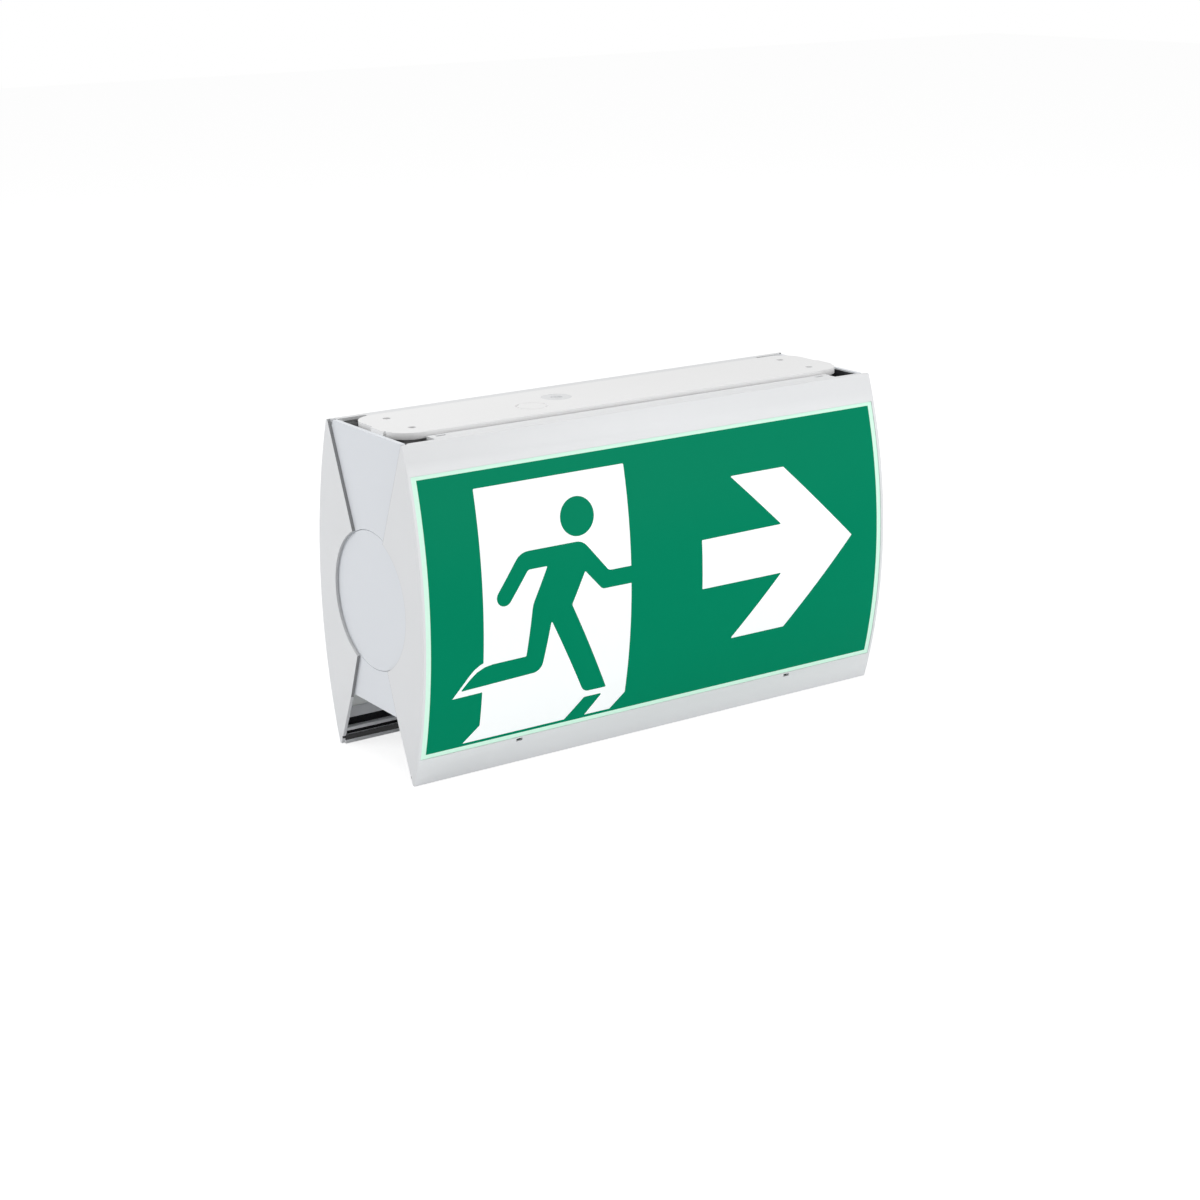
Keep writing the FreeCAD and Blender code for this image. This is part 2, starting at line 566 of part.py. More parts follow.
# The chassis: end walls shaped to the seam, a floor, a deck, pegs, latch fingers, catches and card guides.
def make_chassis():
    body = new_body("chassis")
    floor_edge = f"({face_y(LEDGE_BACK, FLOOR_UNDER)} - floor_gap)"
    section = new_sketch(body, "YZ_Plane")
    rectangle(section, f"-{floor_edge}", FLOOR_UNDER, floor_edge, FLOOR_TOP)
    rectangle(section, f"-{DECK_EDGE}", DECK_UNDER, DECK_EDGE, DECK_TOP)
    body.AllowCompound = True
    pad(body, section, f"2 * {CHASSIS_INNER}", both=True)

    lap_radius = f"({BITE_RADIUS} + wall_lap)"
    lap_y = f"sqrt({lap_radius}^2 - {BITE_JOIN}^2)"
    top = f"({RIM} - seat_play)"
    corner = "(rim_depth / 2 - seam_inset - corner_gap)"
    shoulder = f"({HINGE_Y} + peg_radius + peg_play)"
    shoulder_z = f"({HINGE_Z} - peg_radius)"
    lap_knee = "(rim_depth / 2 - knee_inset + wall_lap)"
    end = new_sketch(body, "YZ_Plane", f"-{CHASSIS_INNER}")
    outline(end, [
        (f"-{corner}", top),
        (f"-{shoulder}", shoulder_z),
        (f"-{lap_y}", BITE_JOIN, lap_radius, 1),
        (f"-{lap_y}", f"-{BITE_JOIN}"),
        (f"-{lap_knee}", FLOOR_UNDER),
        (lap_knee, FLOOR_UNDER),
        (lap_y, f"-{BITE_JOIN}", lap_radius, 1),
        (lap_y, BITE_JOIN),
        (shoulder, shoulder_z),
        (corner, top),
    ])
    wall = pad(body, end, "chassis_wall", reverse=True)
    pegs = new_sketch(body, "YZ_Plane", f"-{CHASSIS_INNER}")
    circle(pegs, f"-{HINGE_Y}", HINGE_Z, "peg_radius")
    circle(pegs, HINGE_Y, HINGE_Z, "peg_radius")
    peg = pad(body, pegs, "peg_length")
    mirror(body, [wall, peg])

    # Round recess and hole for the end caps.
    recess = new_sketch(body, "YZ_Plane", f"-{CHASSIS_FACE}")
    circle(recess, "0", "0", "cap_radius + cap_gap")
    recess_cut = pocket(body, recess, "cap_thickness + cap_seat_gap", reverse=True)
    hole = new_sketch(body, "YZ_Plane", f"-{CHASSIS_FACE}")
    circle(hole, "0", "0", "cap_hole_radius")
    hole_cut = pocket(body, hole, "chassis_wall", reverse=True)
    mirror(body, [recess_cut, hole_cut])

    # Latch fingers hang from the floor; their barbs sit below the covers' ledges.
    barb_top = f"(-{STEP} - barb_gap)"
    barb_low = f"({RIB_TOP} + barb_gap)"
    inner = f"({LATCH_Y} - latch_thickness)"
    finger = new_sketch(body, "YZ_Plane", "latch_spacing / 2")
    for sign in ("-1", "1"):
        outline(finger, [
            (f"{sign} * {inner}", FLOOR_UNDER),
            (f"{sign} * {inner}", barb_low),
            (f"{sign} * {LATCH_Y}", barb_low),
            (f"{sign} * ({LATCH_Y} + barb_reach)", barb_top),
            (f"{sign} * {LATCH_Y}", barb_top),
            (f"{sign} * {LATCH_Y}", FLOOR_UNDER),
        ])
    fingers = pad(body, finger, "latch_width", both=True)
    mirror(body, [fingers])

    # Card guides hold the control board's short edges.
    slot = "(board_thickness / 2 + slot_play)"
    reach = f"({slot} + guide_wall)"
    near = f"({CONTROL_Y} - {reach})"
    far = f"({CONTROL_Y} + {reach})"
    left_grip = f"({CONTROL_START} + guide_grip)"
    right_grip = f"({CONTROL_START} + control_length - guide_grip)"
    for start, inward in ((left_grip, "-1"), (right_grip, "1")):
        back = f"({start} + {inward} * guide_length)"
        catch = f"({start} + {inward} * (guide_grip + slot_play))"
        guide = new_sketch(body, "XY_Plane", FLOOR_TOP)
        outline(guide, [
            (start, near),
            (start, f"{CONTROL_Y} - {slot}"),
            (catch, f"{CONTROL_Y} - {slot}"),
            (catch, f"{CONTROL_Y} + {slot}"),
            (start, f"{CONTROL_Y} + {slot}"),
            (start, far),
            (back, far),
            (back, near),
        ])
        pad(body, guide, "guide_height")
    rest = new_sketch(body, "XY_Plane", FLOOR_TOP)
    for start in (left_grip, f"({right_grip} - 2 * guide_grip)"):
        rectangle(rest, start, near, f"{start} + 2 * guide_grip", far)
    pad(body, rest, "control_clearance")

    # Guide tube of the test button.
    tube = new_sketch(body, "XY_Plane", FLOOR_TOP)
    bore = "(button_radius + button_flange + button_play)"
    circle(tube, "button_offset", "0", f"{bore} + tube_wall")
    pad(body, tube, "tube_height")
    tube_bore = new_sketch(body, "XY_Plane", f"{FLOOR_TOP} + tube_height")
    circle(tube_bore, "button_offset", "0", bore)
    pocket(body, tube_bore, "tube_height")

    floor_holes = new_sketch(body, "XY_Plane", FLOOR_TOP)
    circle(floor_holes, "button_offset", "0", "button_radius + button_play")
    circle(floor_holes, "button_offset + lens_spacing", "0", "lens_radius + seat_play")
    pocket(body, floor_holes, "floor_thickness")

    # Catches on the floor hold the reflectors' feet down.
    catch_face = f"({REFLECTOR_TIP} + seat_play)"
    catch_top = f"({FLOOR_TOP} + sheet_thickness + 2 * seat_play)"
    catches = new_sketch(body, "YZ_Plane", f"{REFLECTOR_END} - catch_inset")
    for sign in ("-1", "1"):
        outline(catches, [
            (f"{sign} * {catch_face}", FLOOR_TOP),
            (f"{sign} * {catch_face}", catch_top),
            (f"{sign} * ({catch_face} - catch_reach)", catch_top),
            (f"{sign} * {catch_face}", f"{catch_top} + catch_wall"),
            (f"{sign} * ({catch_face} + catch_wall)", f"{catch_top} + catch_wall"),
            (f"{sign} * ({catch_face} + catch_wall)", FLOOR_TOP),
        ])
    right_catches = pad(body, catches, "catch_width", both=True)
    mirror(body, [right_catches])

    deck_holes = new_sketch(body, "XY_Plane", DECK_TOP)
    half = "(entry_radius + grommet_flange)"
    rectangle(deck_holes, f"-entry_offset - {half}", f"entry_back - {half}",
              f"{half} - entry_offset", f"entry_back + {half}")
    for sign_x in ("-1", "1"):
        for sign_y in ("-1", "1"):
            across = f"{sign_x} * {FIXING_X}"
            up = f"{sign_y} * {FIXING_Y}"
            rectangle(deck_holes, f"{across} - access_width / 2", f"{up} - access_width / 2",
                      f"{across} + access_width / 2", f"{up} + access_width / 2")
    pocket(body, deck_holes, "deck_thickness")
    return body


# The mounting plate: a shallow tray, open below, with a flange round it and a lug at each end.
def make_plate():
    body = new_body("mounting_plate", drop="0")
    flange = new_sketch(body, "XY_Plane")
    rounded_rectangle(flange, "plate_length / 2", PLATE_EDGE, "plate_corner")
    pad(body, flange, "plate_flange", reverse=True)
    lugs = new_sketch(body, "XY_Plane")
    lug_front = "(-lug_offset - lug_width / 2)"
    lug_back = "(lug_width / 2 - lug_offset)"
    lug_tip = f"({CHASSIS_INNER} - seat_play)"
    rectangle(lugs, f"-{lug_tip}", lug_front, "-plate_length / 2", lug_back)
    rectangle(lugs, "plate_length / 2", lug_front, lug_tip, lug_back)
    pad(body, lugs, "plate_flange", reverse=True)
    walls = new_sketch(body, "XY_Plane", "-plate_skin")
    rounded_rectangle(walls, "(plate_length / 2 - plate_set_in)", f"({PLATE_EDGE} - plate_set_in)",
                      "(plate_corner - plate_set_in)")
    pad(body, walls, "plate_height - plate_skin", reverse=True)
    hollow = new_sketch(body, "XY_Plane", "-plate_height")
    inset = "(plate_set_in + plate_wall)"
    rounded_rectangle(hollow, f"(plate_length / 2 - {inset})", f"({PLATE_EDGE} - {inset})",
                      f"(plate_corner - {inset})")
    pocket(body, hollow, "plate_height - plate_skin", reverse=True)

    bosses = new_sketch(body, "XY_Plane", "-plate_skin")
    fixings = new_sketch(body, "XY_Plane")
    for sign_x in ("-1", "1"):
        for sign_y in ("-1", "1"):
            across = f"{sign_x} * {BOSS_X}"
            up = f"{sign_y} * {BOSS_Y}"
            rectangle(bosses, f"{across} - boss_width / 2", f"{up} - boss_width / 2",
                      f"{across} + boss_width / 2", f"{up} + boss_width / 2")
            circle(fixings, f"{sign_x} * {FIXING_X}", f"{sign_y} * {FIXING_Y}", "fixing_radius")
    circle(fixings, "-entry_offset", "entry_back", "entry_radius")
    pad(body, bosses, "plate_height - plate_skin", reverse=True)
    pocket(body, fixings, "plate_skin")

    # Knockout ring, thin so that it can be broken out for a second cable.
    ring = new_sketch(body, "XY_Plane")
    circle(ring, "-knockout_offset", "-knockout_front", "knockout_radius")
    circle(ring, "-knockout_offset", "-knockout_front", "knockout_radius - groove_width")
    pocket(body, ring, "groove_depth")
    return body


# Round blanking cap with snap legs that fit the hole in the end wall.
def make_cap(label, turned):
    feature = doc.addObject("PartDesign::Body", label)
    feature.Label = label
    disc = new_sketch(feature, "XY_Plane")
    circle(disc, "0", "0", "cap_radius")
    pad(feature, disc, "cap_thickness", reverse=True)
    legs = new_sketch(feature, "XY_Plane", "-cap_thickness")
    face = "(cap_hole_radius - leg_play)"
    count = int(value("leg_count"))
    for step in range(count):
        angle = 360 * step / count
        corners = []
        for across, up in ((-0.5, 0), (0.5, 0), (0.5, -1), (-0.5, -1)):
            radial = f"({face} + {up} * leg_thickness)"
            sideways = f"({across} * leg_width)"
            corners.append((f"{radial} * cos({angle}) - {sideways} * sin({angle})",
                            f"{radial} * sin({angle}) + {sideways} * cos({angle})"))
        outline(legs, corners)
    pad(feature, legs, "leg_length", reverse=True)
    side = -1 if turned else 1
    feature.Placement = FreeCAD.Placement(V(0, 0, 0), FreeCAD.Rotation(V(0, 1, 0), 90 * side))
    feature.setExpression("Placement.Base.x", bound(f"{side} * {CHASSIS_FACE}"))
    feature.setExpression("Placement.Base.z", bound(BOX_CENTRE))
    return feature


def make_grommet():
    body = new_body("cable_grommet", drop="0")
    neck = "(entry_radius - seat_play)"
    turn(body, [
        ("grommet_bore", "-seat_play"),
        (neck, "-seat_play"),
        (neck, "-plate_skin - seat_play"),
        ("entry_radius + grommet_flange", "-plate_skin - seat_play"),
        ("entry_radius + grommet_flange", "-plate_skin - seat_play - grommet_flange_height"),
        ("grommet_bore", "-plate_skin - seat_play - grommet_flange_height"),
    ])
    body.setExpression("Placement.Base.x", bound("-entry_offset"))
    body.setExpression("Placement.Base.y", bound("entry_back"))
    return body


# Folded white sheet: an upright web with a foot on the floor and a head under the deck.
def make_reflector(label, turned):
    body = new_body(label, turned=turned)
    low = f"({FLOOR_TOP} + seat_play)"
    high = f"({DECK_UNDER} - seat_play)"
    outer = "(bay_depth / 2 + sheet_thickness)"
    tip = REFLECTOR_TIP
    sketch = new_sketch(body, "YZ_Plane")
    outline(sketch, [
        ("-bay_depth / 2", low),
        ("-bay_depth / 2", high),
        (f"-{tip}", high),
        (f"-{tip}", f"{high} - sheet_thickness"),
        (f"-{outer}", f"{high} - sheet_thickness"),
        (f"-{outer}", f"{low} + sheet_thickness"),
        (f"-{tip}", f"{low} + sheet_thickness"),
        (f"-{tip}", low),
    ])
    pad(body, sketch, f"2 * {REFLECTOR_END}", both=True)
    return body


# Two light boards on each reflector, with their light sources.
def make_lights(side, sign):
    web = value("bay_depth / 2 + sheet_thickness + seat_play")
    thick = value("board_thickness")
    depth = value("led_height")
    pitch = value("led_pitch")
    length = 2 * value(f"{REFLECTOR_END} - board_inset")
    count = int(length // pitch)
    boards = []
    leds = []
    for up in (-0.5, 0.5):
        height = up * value("board_spacing")
        boards.append(block((length, thick, value("board_height")), V(0, sign * (web + thick / 2), height)))
        for step in range(count):
            across = (step - (count - 1) / 2) * pitch
            leds.append(block((value("led_size"), depth, value("led_size")),
                              V(across, sign * (web + thick + depth / 2), height)))
    return [group(side + "_led_boards", boards), group(side + "_leds", leds)]


# Two battery sticks in one sealed sleeve, standing on edge in a cradle.
def make_battery():
    body = new_body("battery_pack")
    low = f"({FLOOR_TOP} + cradle_wall + 2 * cradle_play)"
    sketch = new_sketch(body, "YZ_Plane", f"{BATTERY_END} - battery_length")
    outline(sketch, [
        ("cell_radius", f"{low} + cell_radius"),
        ("cell_radius", f"{low} + 3 * cell_radius", "cell_radius", 1),
        ("0", f"{low} + 4 * cell_radius", "cell_radius", 1),
        ("-cell_radius", f"{low} + 3 * cell_radius"),
        ("-cell_radius", f"{low} + cell_radius", "cell_radius", 1),
        ("0", low, "cell_radius", 1),
    ])
    pad(body, sketch, "battery_length")
    return body


def make_cradle():
    body = new_body("battery_cradle")
    low = f"({FLOOR_TOP} + seat_play)"
    inner = "(cell_radius + cradle_play)"
    outer = f"({inner} + cradle_wall)"
    high = f"({low} + cradle_height)"
    sketch = new_sketch(body, "YZ_Plane", f"{BATTERY_END} - battery_length / 2")
    outline(sketch, [
        (f"-{outer}", low),
        (outer, low),
        (outer, high),
        (inner, high),
        (inner, f"{low} + cradle_wall"),
        (f"-{inner}", f"{low} + cradle_wall"),
        (f"-{inner}", high),
        (f"-{outer}", high),
    ])
    pad(body, sketch, "battery_length - 2 * cradle_inset", both=True)
    return body


# Control gear: an upright board in the card guides with its tall components on the inner side.
def make_control_gear():
    board_low = value(f"{FLOOR_TOP} + control_clearance + slot_play")
    length = value("control_length")
    height = value("control_height")
    thick = value("board_thickness")
    start = value(CONTROL_START)
    level = value(CONTROL_Y)
    face = level + thick / 2
    board = block((length, thick, height), V(start + length / 2, level, board_low + height / 2))

    size = (value("transformer_length"), value("transformer_depth"), value("transformer_height"))
    across = start + value("transformer_inset") + size[0] / 2
    up = board_low + height - value("transformer_drop") - size[2] / 2
    transformer = block(size, V(across, face + size[1] / 2, up))

    radius = value("capacitor_radius")
    first = across + size[0] / 2 + value("capacitor_gap") + radius
    cans = []
    for step in range(2):
        foot = V(first + step * value("capacitor_pitch"), face, up)
        cans.append(Part.makeCylinder(radius, value("capacitor_length"), foot, V(0, 1, 0)))

    size = (value("connector_length"), value("connector_depth"), value("connector_height"))
    up = board_low + value("connector_rise") + size[2] / 2
    plugs = []
    for step in range(1, 4):
        plugs.append(block(size, V(start + step * value("connector_pitch"), face + size[1] / 2, up)))
    return [group("control_board", [board]), group("transformer", [transformer]),
            group("capacitors", cans), group("board_connectors", plugs)]


# Mains terminal under the deck, with a square mouth right through for each pole.
def make_terminal():
    body = new_body("terminal_block")
    sketch = new_sketch(body, "XY_Plane", f"{DECK_UNDER} - seat_play")
    rectangle(sketch, "-terminal_offset - terminal_length / 2", "-terminal_depth / 2",
              "terminal_length / 2 - terminal_offset", "terminal_depth / 2")
    pad(body, sketch, "terminal_height", reverse=True)
    low = f"({DECK_UNDER} - seat_play - terminal_height + mouth_rise)"
    mouths = new_sketch(body, "XZ_Plane", "terminal_depth / 2")
    for step in ("-1", "0", "1"):
        across = f"({step} * terminal_pitch - terminal_offset)"
        rectangle(mouths, f"{across} - wire_mouth / 2", low,
                  f"{across} + wire_mouth / 2", f"{low} + wire_mouth")
    pocket(body, mouths, "terminal_depth")
    return body


# Test button in its guide tube, pushed out by a coil spring under the switch.
def make_button():
    body = new_body("test_button")
    flange = "(button_radius + button_flange)"
    low = f"({FLOOR_UNDER} - button_proud)"
    seat = f"({FLOOR_TOP} + seat_play)"
    head = f"({seat} + button_flange_height)"
    turn(body, [
        ("0", low),
        ("button_radius", low),
        ("button_radius", seat),
        (flange, seat),
        (flange, head),
        ("stem_radius", head),
        ("stem_radius", f"{FLOOR_TOP} + tube_height - seat_play"),
        ("0", f"{FLOOR_TOP} + tube_height - seat_play"),
    ])
    body.setExpression("Placement.Base.x", bound("button_offset"))
    return body


def make_spring():
    wire = value("spring_wire")
    low = value(f"{FLOOR_TOP} + seat_play + button_flange_height") + wire / 2 + value("seat_play")
    high = value(f"{FLOOR_TOP} + tube_height") - wire / 2 - value("seat_play")
    radius = value("button_radius + button_flange - spring_wire")
    turns = value("spring_turns")
    path = Part.makeHelix((high - low) / turns, high - low, radius)
    corners = [V(radius + x * wire / 2, 0, z * wire / 2) for x, z in ((-1, -1), (1, -1), (1, 1), (-1, 1))]
    section = Part.makePolygon(corners + corners[:1])
    coil = Part.Wire(path.Edges).makePipeShell([section], True, True)
    coil.translate(V(value("button_offset"), 0, low))
    return group("button_spring", [coil])


def make_switch():
    body = new_body("test_switch")
    base = f"({FLOOR_TOP} + tube_height + seat_play)"
    sketch = new_sketch(body, "XY_Plane", base)
    rectangle(sketch, "button_offset - switch_length / 2", "-switch_depth / 2",
              "button_offset + switch_length / 2", "switch_depth / 2")
    pad(body, sketch, "switch_height")
    recess = new_sketch(body, "XY_Plane", base)
    circle(recess, "button_offset", "0", "stem_radius + button_play")
    pocket(body, recess, "button_travel + recess_play", reverse=True)
    return body


# Status lens with a bevelled nose, pressed into the floor beside the button.
def make_lens():
    body = new_body("status_lens")
    seat = f"({FLOOR_TOP} + seat_play)"
    turn(body, [
        ("0", f"{FLOOR_UNDER} - lens_proud"),
        ("lens_radius / 2", f"{FLOOR_UNDER} - lens_proud"),
        ("lens_radius", FLOOR_UNDER),
        ("lens_radius", seat),
        ("lens_radius + lens_flange", seat),
        ("lens_radius + lens_flange", f"{seat} + button_flange_height"),
        ("0", f"{seat} + button_flange_height"),
    ])
    body.setExpression("Placement.Base.x", bound("button_offset + lens_spacing"))
    return body


nodes = [make_plate(), make_chassis()]
for side, turned, sign in (("front", False, -1), ("back", True, 1)):
    nodes.append(make_cover(side + "_cover", turned))
    between = "(panel_recess + legend_thickness)"
    nodes.append(make_panel(side + "_legend_panel", turned, "panel_recess", between))
    nodes.append(make_panel(side + "_diffuser", turned, between, PANEL_STACK))
    nodes.append(make_strips(side + "_edge_strips", turned))
    nodes.append(make_reflector(side + "_reflector", turned))
    nodes += make_lights(side, sign)
nodes.append(make_cap("left_end_cap", True))
nodes.append(make_cap("right_end_cap", False))
nodes.append(make_grommet())
nodes.append(make_battery())
nodes.append(make_cradle())
nodes += make_control_gear()
nodes.append(make_terminal())
nodes.append(make_button())
nodes.append(make_spring())
nodes.append(make_switch())
nodes.append(make_lens())
doc.recompute()

for item in doc.Objects:
    if "Invalid" in item.State or "Error" in item.State:
        raise ValueError(f"{item.Label} failed: {item.State}")
for node in nodes:
    if node.Shape.isNull() or not node.Shape.isValid():
        raise ValueError(f"{node.Label} has no valid shape")
os.makedirs("parts", exist_ok=True)
for node in nodes:
    node.Shape.exportStep(f"parts/{node.Label}.step")
    print(node.Label, len(node.Shape.Solids), round(node.Shape.Volume))
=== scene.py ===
# Looks of a double-sided emergency exit light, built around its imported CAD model.
# Everything is in metres: X along the sign, the front face towards -Y, Z up, zero at the ceiling face.
import bpy
import math
import numpy as np
from mathutils import Matrix, Vector
from mathutils.geometry import delaunay_2d_cdt


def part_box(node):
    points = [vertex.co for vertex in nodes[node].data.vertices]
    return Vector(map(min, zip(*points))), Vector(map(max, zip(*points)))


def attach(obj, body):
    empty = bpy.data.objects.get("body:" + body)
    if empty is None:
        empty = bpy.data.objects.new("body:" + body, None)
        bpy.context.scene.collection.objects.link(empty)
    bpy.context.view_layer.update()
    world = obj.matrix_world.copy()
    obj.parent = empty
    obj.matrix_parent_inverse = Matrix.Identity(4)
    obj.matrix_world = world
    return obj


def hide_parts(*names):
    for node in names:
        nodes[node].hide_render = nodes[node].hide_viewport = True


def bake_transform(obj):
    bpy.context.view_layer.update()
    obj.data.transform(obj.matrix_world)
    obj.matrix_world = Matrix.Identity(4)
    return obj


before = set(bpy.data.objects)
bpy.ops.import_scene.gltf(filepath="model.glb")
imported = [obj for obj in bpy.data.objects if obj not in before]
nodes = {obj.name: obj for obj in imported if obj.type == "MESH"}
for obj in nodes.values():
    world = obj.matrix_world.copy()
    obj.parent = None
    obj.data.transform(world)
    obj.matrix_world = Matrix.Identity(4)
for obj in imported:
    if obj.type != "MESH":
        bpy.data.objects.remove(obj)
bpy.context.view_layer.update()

# The camera: a short telephoto view from the left front, a little above the sign.
CAMERA_PLACE = Vector((-0.8289, -1.2273, 0.3043))
CAMERA_AHEAD = Vector((0.5388, 0.8049, -0.2485)).normalized()
CAMERA_RIGHT = Vector((0.8288, -0.5593, -0.0145)).normalized()

camera_up = CAMERA_RIGHT.cross(CAMERA_AHEAD).normalized()
view = bpy.data.cameras.new("view")
view.sensor_width = 36
view.lens = 69.57
view.shift_y = -0.08
camera = bpy.data.objects.new("camera", view)
turn = Matrix((CAMERA_RIGHT, camera_up, -CAMERA_AHEAD)).transposed()
camera.matrix_world = Matrix.Translation(CAMERA_PLACE) @ turn.to_4x4()
scene = bpy.context.scene
scene.collection.objects.link(camera)
scene.camera = camera
scene.view_settings.view_transform = "Standard"


# Materials are written as arithmetic on sockets.
class Wire:
    """One output of a shader node; sums and products of wires add Math nodes."""

    def __init__(self, finish, socket):
        self.finish = finish
        self.socket = socket

    def math(self, operation, first, second=0.0):
        return self.finish.node("ShaderNodeMath", {"operation": operation}, {0: first, 1: second})

    def __add__(self, other):
        return self.math("ADD", self, other)

    def __sub__(self, other):
        return self.math("SUBTRACT", self, other)

    def __rsub__(self, other):
        return self.math("SUBTRACT", other, self)

    def __mul__(self, other):
        return self.math("MULTIPLY", self, other)

    def __truediv__(self, other):
        return self.math("DIVIDE", self, other)

    def __gt__(self, other):
        return self.math("GREATER_THAN", self, other)

    def sine(self):
        return self.math("SINE", self)

    def fraction(self):
        return self.math("FRACT", self)

    def size(self):
        return self.math("ABSOLUTE", self)

    def root(self):
        return self.math("SQRT", self)


class Finish:
    """A material in the making. node() adds any node, and shader holds its surface."""

    def __init__(self, name):
        self.material = bpy.data.materials.new(name)
        self.material.use_nodes = True
        self.tree = self.material.node_tree
        self.tree.nodes.clear()

    def node(self, kind, settings, inputs, output=0):
        made = self.tree.nodes.new(kind)
        for setting, chosen in settings.items():
            setattr(made, setting, chosen)
        for name, given in inputs.items():
            if isinstance(given, Wire):
                self.tree.links.new(given.socket, made.inputs[name])
            else:
                made.inputs[name].default_value = given
        return Wire(self, made.outputs[output]) if len(made.outputs) else None

    def place(self, axis=None):
        """Object coordinates, or one axis of them."""
        where = self.node("ShaderNodeTexCoord", {}, {}, "Object")
        if axis is None:
            return where
        return self.node("ShaderNodeSeparateXYZ", {}, {0: where}, axis)

    def noise(self, per_metre, detail=2.0, where=None):
        """Noise between 0 and 1, centred on a half."""
        where = self.place() if where is None else where
        return self.node("ShaderNodeTexNoise", {}, {"Vector": where, "Scale": per_metre, "Detail": detail})

    def blend(self, amount, low, high):
        """From one colour to another."""
        low = low if isinstance(low, Wire) else (*low, 1)
        high = high if isinstance(high, Wire) else (*high, 1)
        return self.node("ShaderNodeMix", {"data_type": "RGBA"}, {0: amount, 6: low, 7: high}, 2)

    def bump(self, height, depth, strength=1.0):
        """A relief whose height of 1 stands depth metres proud."""
        return self.node("ShaderNodeBump", {}, {"Height": height, "Distance": depth, "Strength": strength})

    def surface(self, inputs):
        shader = self.node("ShaderNodeBsdfPrincipled", {}, inputs)
        return self.finish_with(shader)

    def finish_with(self, shader):
        self.node("ShaderNodeOutputMaterial", {}, {"Surface": shader})
        return self.material


def srgb(red, green, blue):
    """Screen values 0 to 255 as the linear colour that renders so under plain light."""
    return tuple(c / 12.92 if c < 0.04045 else ((c + 0.055) / 1.055) ** 2.4
                 for c in (red / 255, green / 255, blue / 255))


# The floor and the light: a pale floor just under the rims, a white surround and three soft lamps.
FLOOR_GAP = 0.0003
floor_level = min(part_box(node)[0].z for node in nodes) - FLOOR_GAP
floor_half = 6.0
floor_mesh = bpy.data.meshes.new("floor")
floor_corners = [(-floor_half, -floor_half), (floor_half, -floor_half), (floor_half, floor_half),
                 (-floor_half, floor_half)]
floor_mesh.from_pydata([(x, y, floor_level) for x, y in floor_corners], [], [(0, 1, 2, 3)])
floor = bpy.data.objects.new("floor", floor_mesh)
scene.collection.objects.link(floor)
paint = Finish("floor_paint")
seen = paint.node("ShaderNodeLightPath", {}, {}, "Is Camera Ray")
mirrored = paint.node("ShaderNodeLightPath", {}, {}, "Is Glossy Ray")
lit = paint.node("ShaderNodeBsdfDiffuse", {}, {"Color": (0.80, 0.81, 0.83, 1)})
shown = paint.node("ShaderNodeBsdfDiffuse", {}, {"Color": (0.40, 0.40, 0.40, 1)})
glow = paint.node("ShaderNodeEmission", {}, {"Color": (1, 1, 1, 1), "Strength": 0.78})
backdrop = paint.node("ShaderNodeAddShader", {}, {0: shown, 1: glow})
floor_mesh.materials.append(paint.finish_with(
    paint.node("ShaderNodeMixShader", {}, {0: paint.node("ShaderNodeMath", {"operation": "MAXIMUM"},
                                                        {0: seen, 1: mirrored}), 1: lit, 2: backdrop})))

world = bpy.data.worlds.new("surround")
world.use_nodes = True
scene.world = world
sky = world.node_tree
sky.nodes.clear()
path = sky.nodes.new("ShaderNodeLightPath")
strength = sky.nodes.new("ShaderNodeMix")
strength.data_type = "FLOAT"
strength.inputs[2].default_value = 0.50
strength.inputs[3].default_value = 1.0
surround = sky.nodes.new("ShaderNodeBackground")
surround.inputs[0].default_value = (1, 1, 1, 1)
finish = sky.nodes.new("ShaderNodeOutputWorld")
sky.links.new(path.outputs["Is Camera Ray"], strength.inputs[0])
sky.links.new(strength.outputs[0], surround.inputs[1])
sky.links.new(surround.outputs[0], finish.inputs[0])

LAMPS = (
    ("lamp_front", (0.9, -2.0, 0.4), 1.4, 19.5),
    ("lamp_above", (0.0, 0.3, 2.0), 1.8, 15.5),
    ("lamp_left", (-1.1, 0.3, 0.75), 0.6, 4.6),
)
sign_middle = Vector((0, 0, -0.11))
for name, place, width, power in LAMPS:
    lamp = bpy.data.lights.new(name, "AREA")
    lamp.size = width
    lamp.energy = power
    lamp_object = bpy.data.objects.new(name, lamp)
    aim = (sign_middle - Vector(place)).to_track_quat("-Z", "Y")
    lamp_object.matrix_world = Matrix.Translation(place) @ aim.to_matrix().to_4x4()
    scene.collection.objects.link(lamp_object)


# White mouldings: the covers are satin on the outside, the chassis and plate a finer matt.
# All are taken to be injection moulded, with a fine grain.
def plastic(name, colour, roughness, grain, depth, specular=0.45, metallic=0.0):
    """An even finish: grain per metre and its depth, a very slow drift of tone, slightly uneven gloss."""
    mix = Finish(name)
    shade = tuple(0.955 * c for c in colour)
    return mix.surface({
        "Base Color": mix.blend(mix.noise(9.0, 1.0), shade, colour),
        "Roughness": mix.noise(70.0, 3.0) * 0.10 + (roughness - 0.05),
        "Metallic": metallic,
        "Specular IOR Level": specular,
        "Normal": mix.bump(mix.noise(grain), depth),
    })


def dress(node, material, edge=0.0):
    """Gives a CAD node its material and, by modifiers, softly rounded edges of that width."""
    piece = nodes[node]
    piece.data.materials.clear()
    piece.data.materials.append(material)
    if edge:
        weld = piece.modifiers.new("weld", "WELD")
        weld.merge_threshold = 0.000002
        flat = piece.modifiers.new("flat", "DECIMATE")
        flat.decimate_type = "DISSOLVE"
        flat.angle_limit = math.radians(0.3)
        bevel = piece.modifiers.new("edge", "BEVEL")
        bevel.width = edge
        bevel.segments = 2
        bevel.limit_method = "ANGLE"
        bevel.angle_limit = math.radians(32)
        bevel.harden_normals = False
    return piece


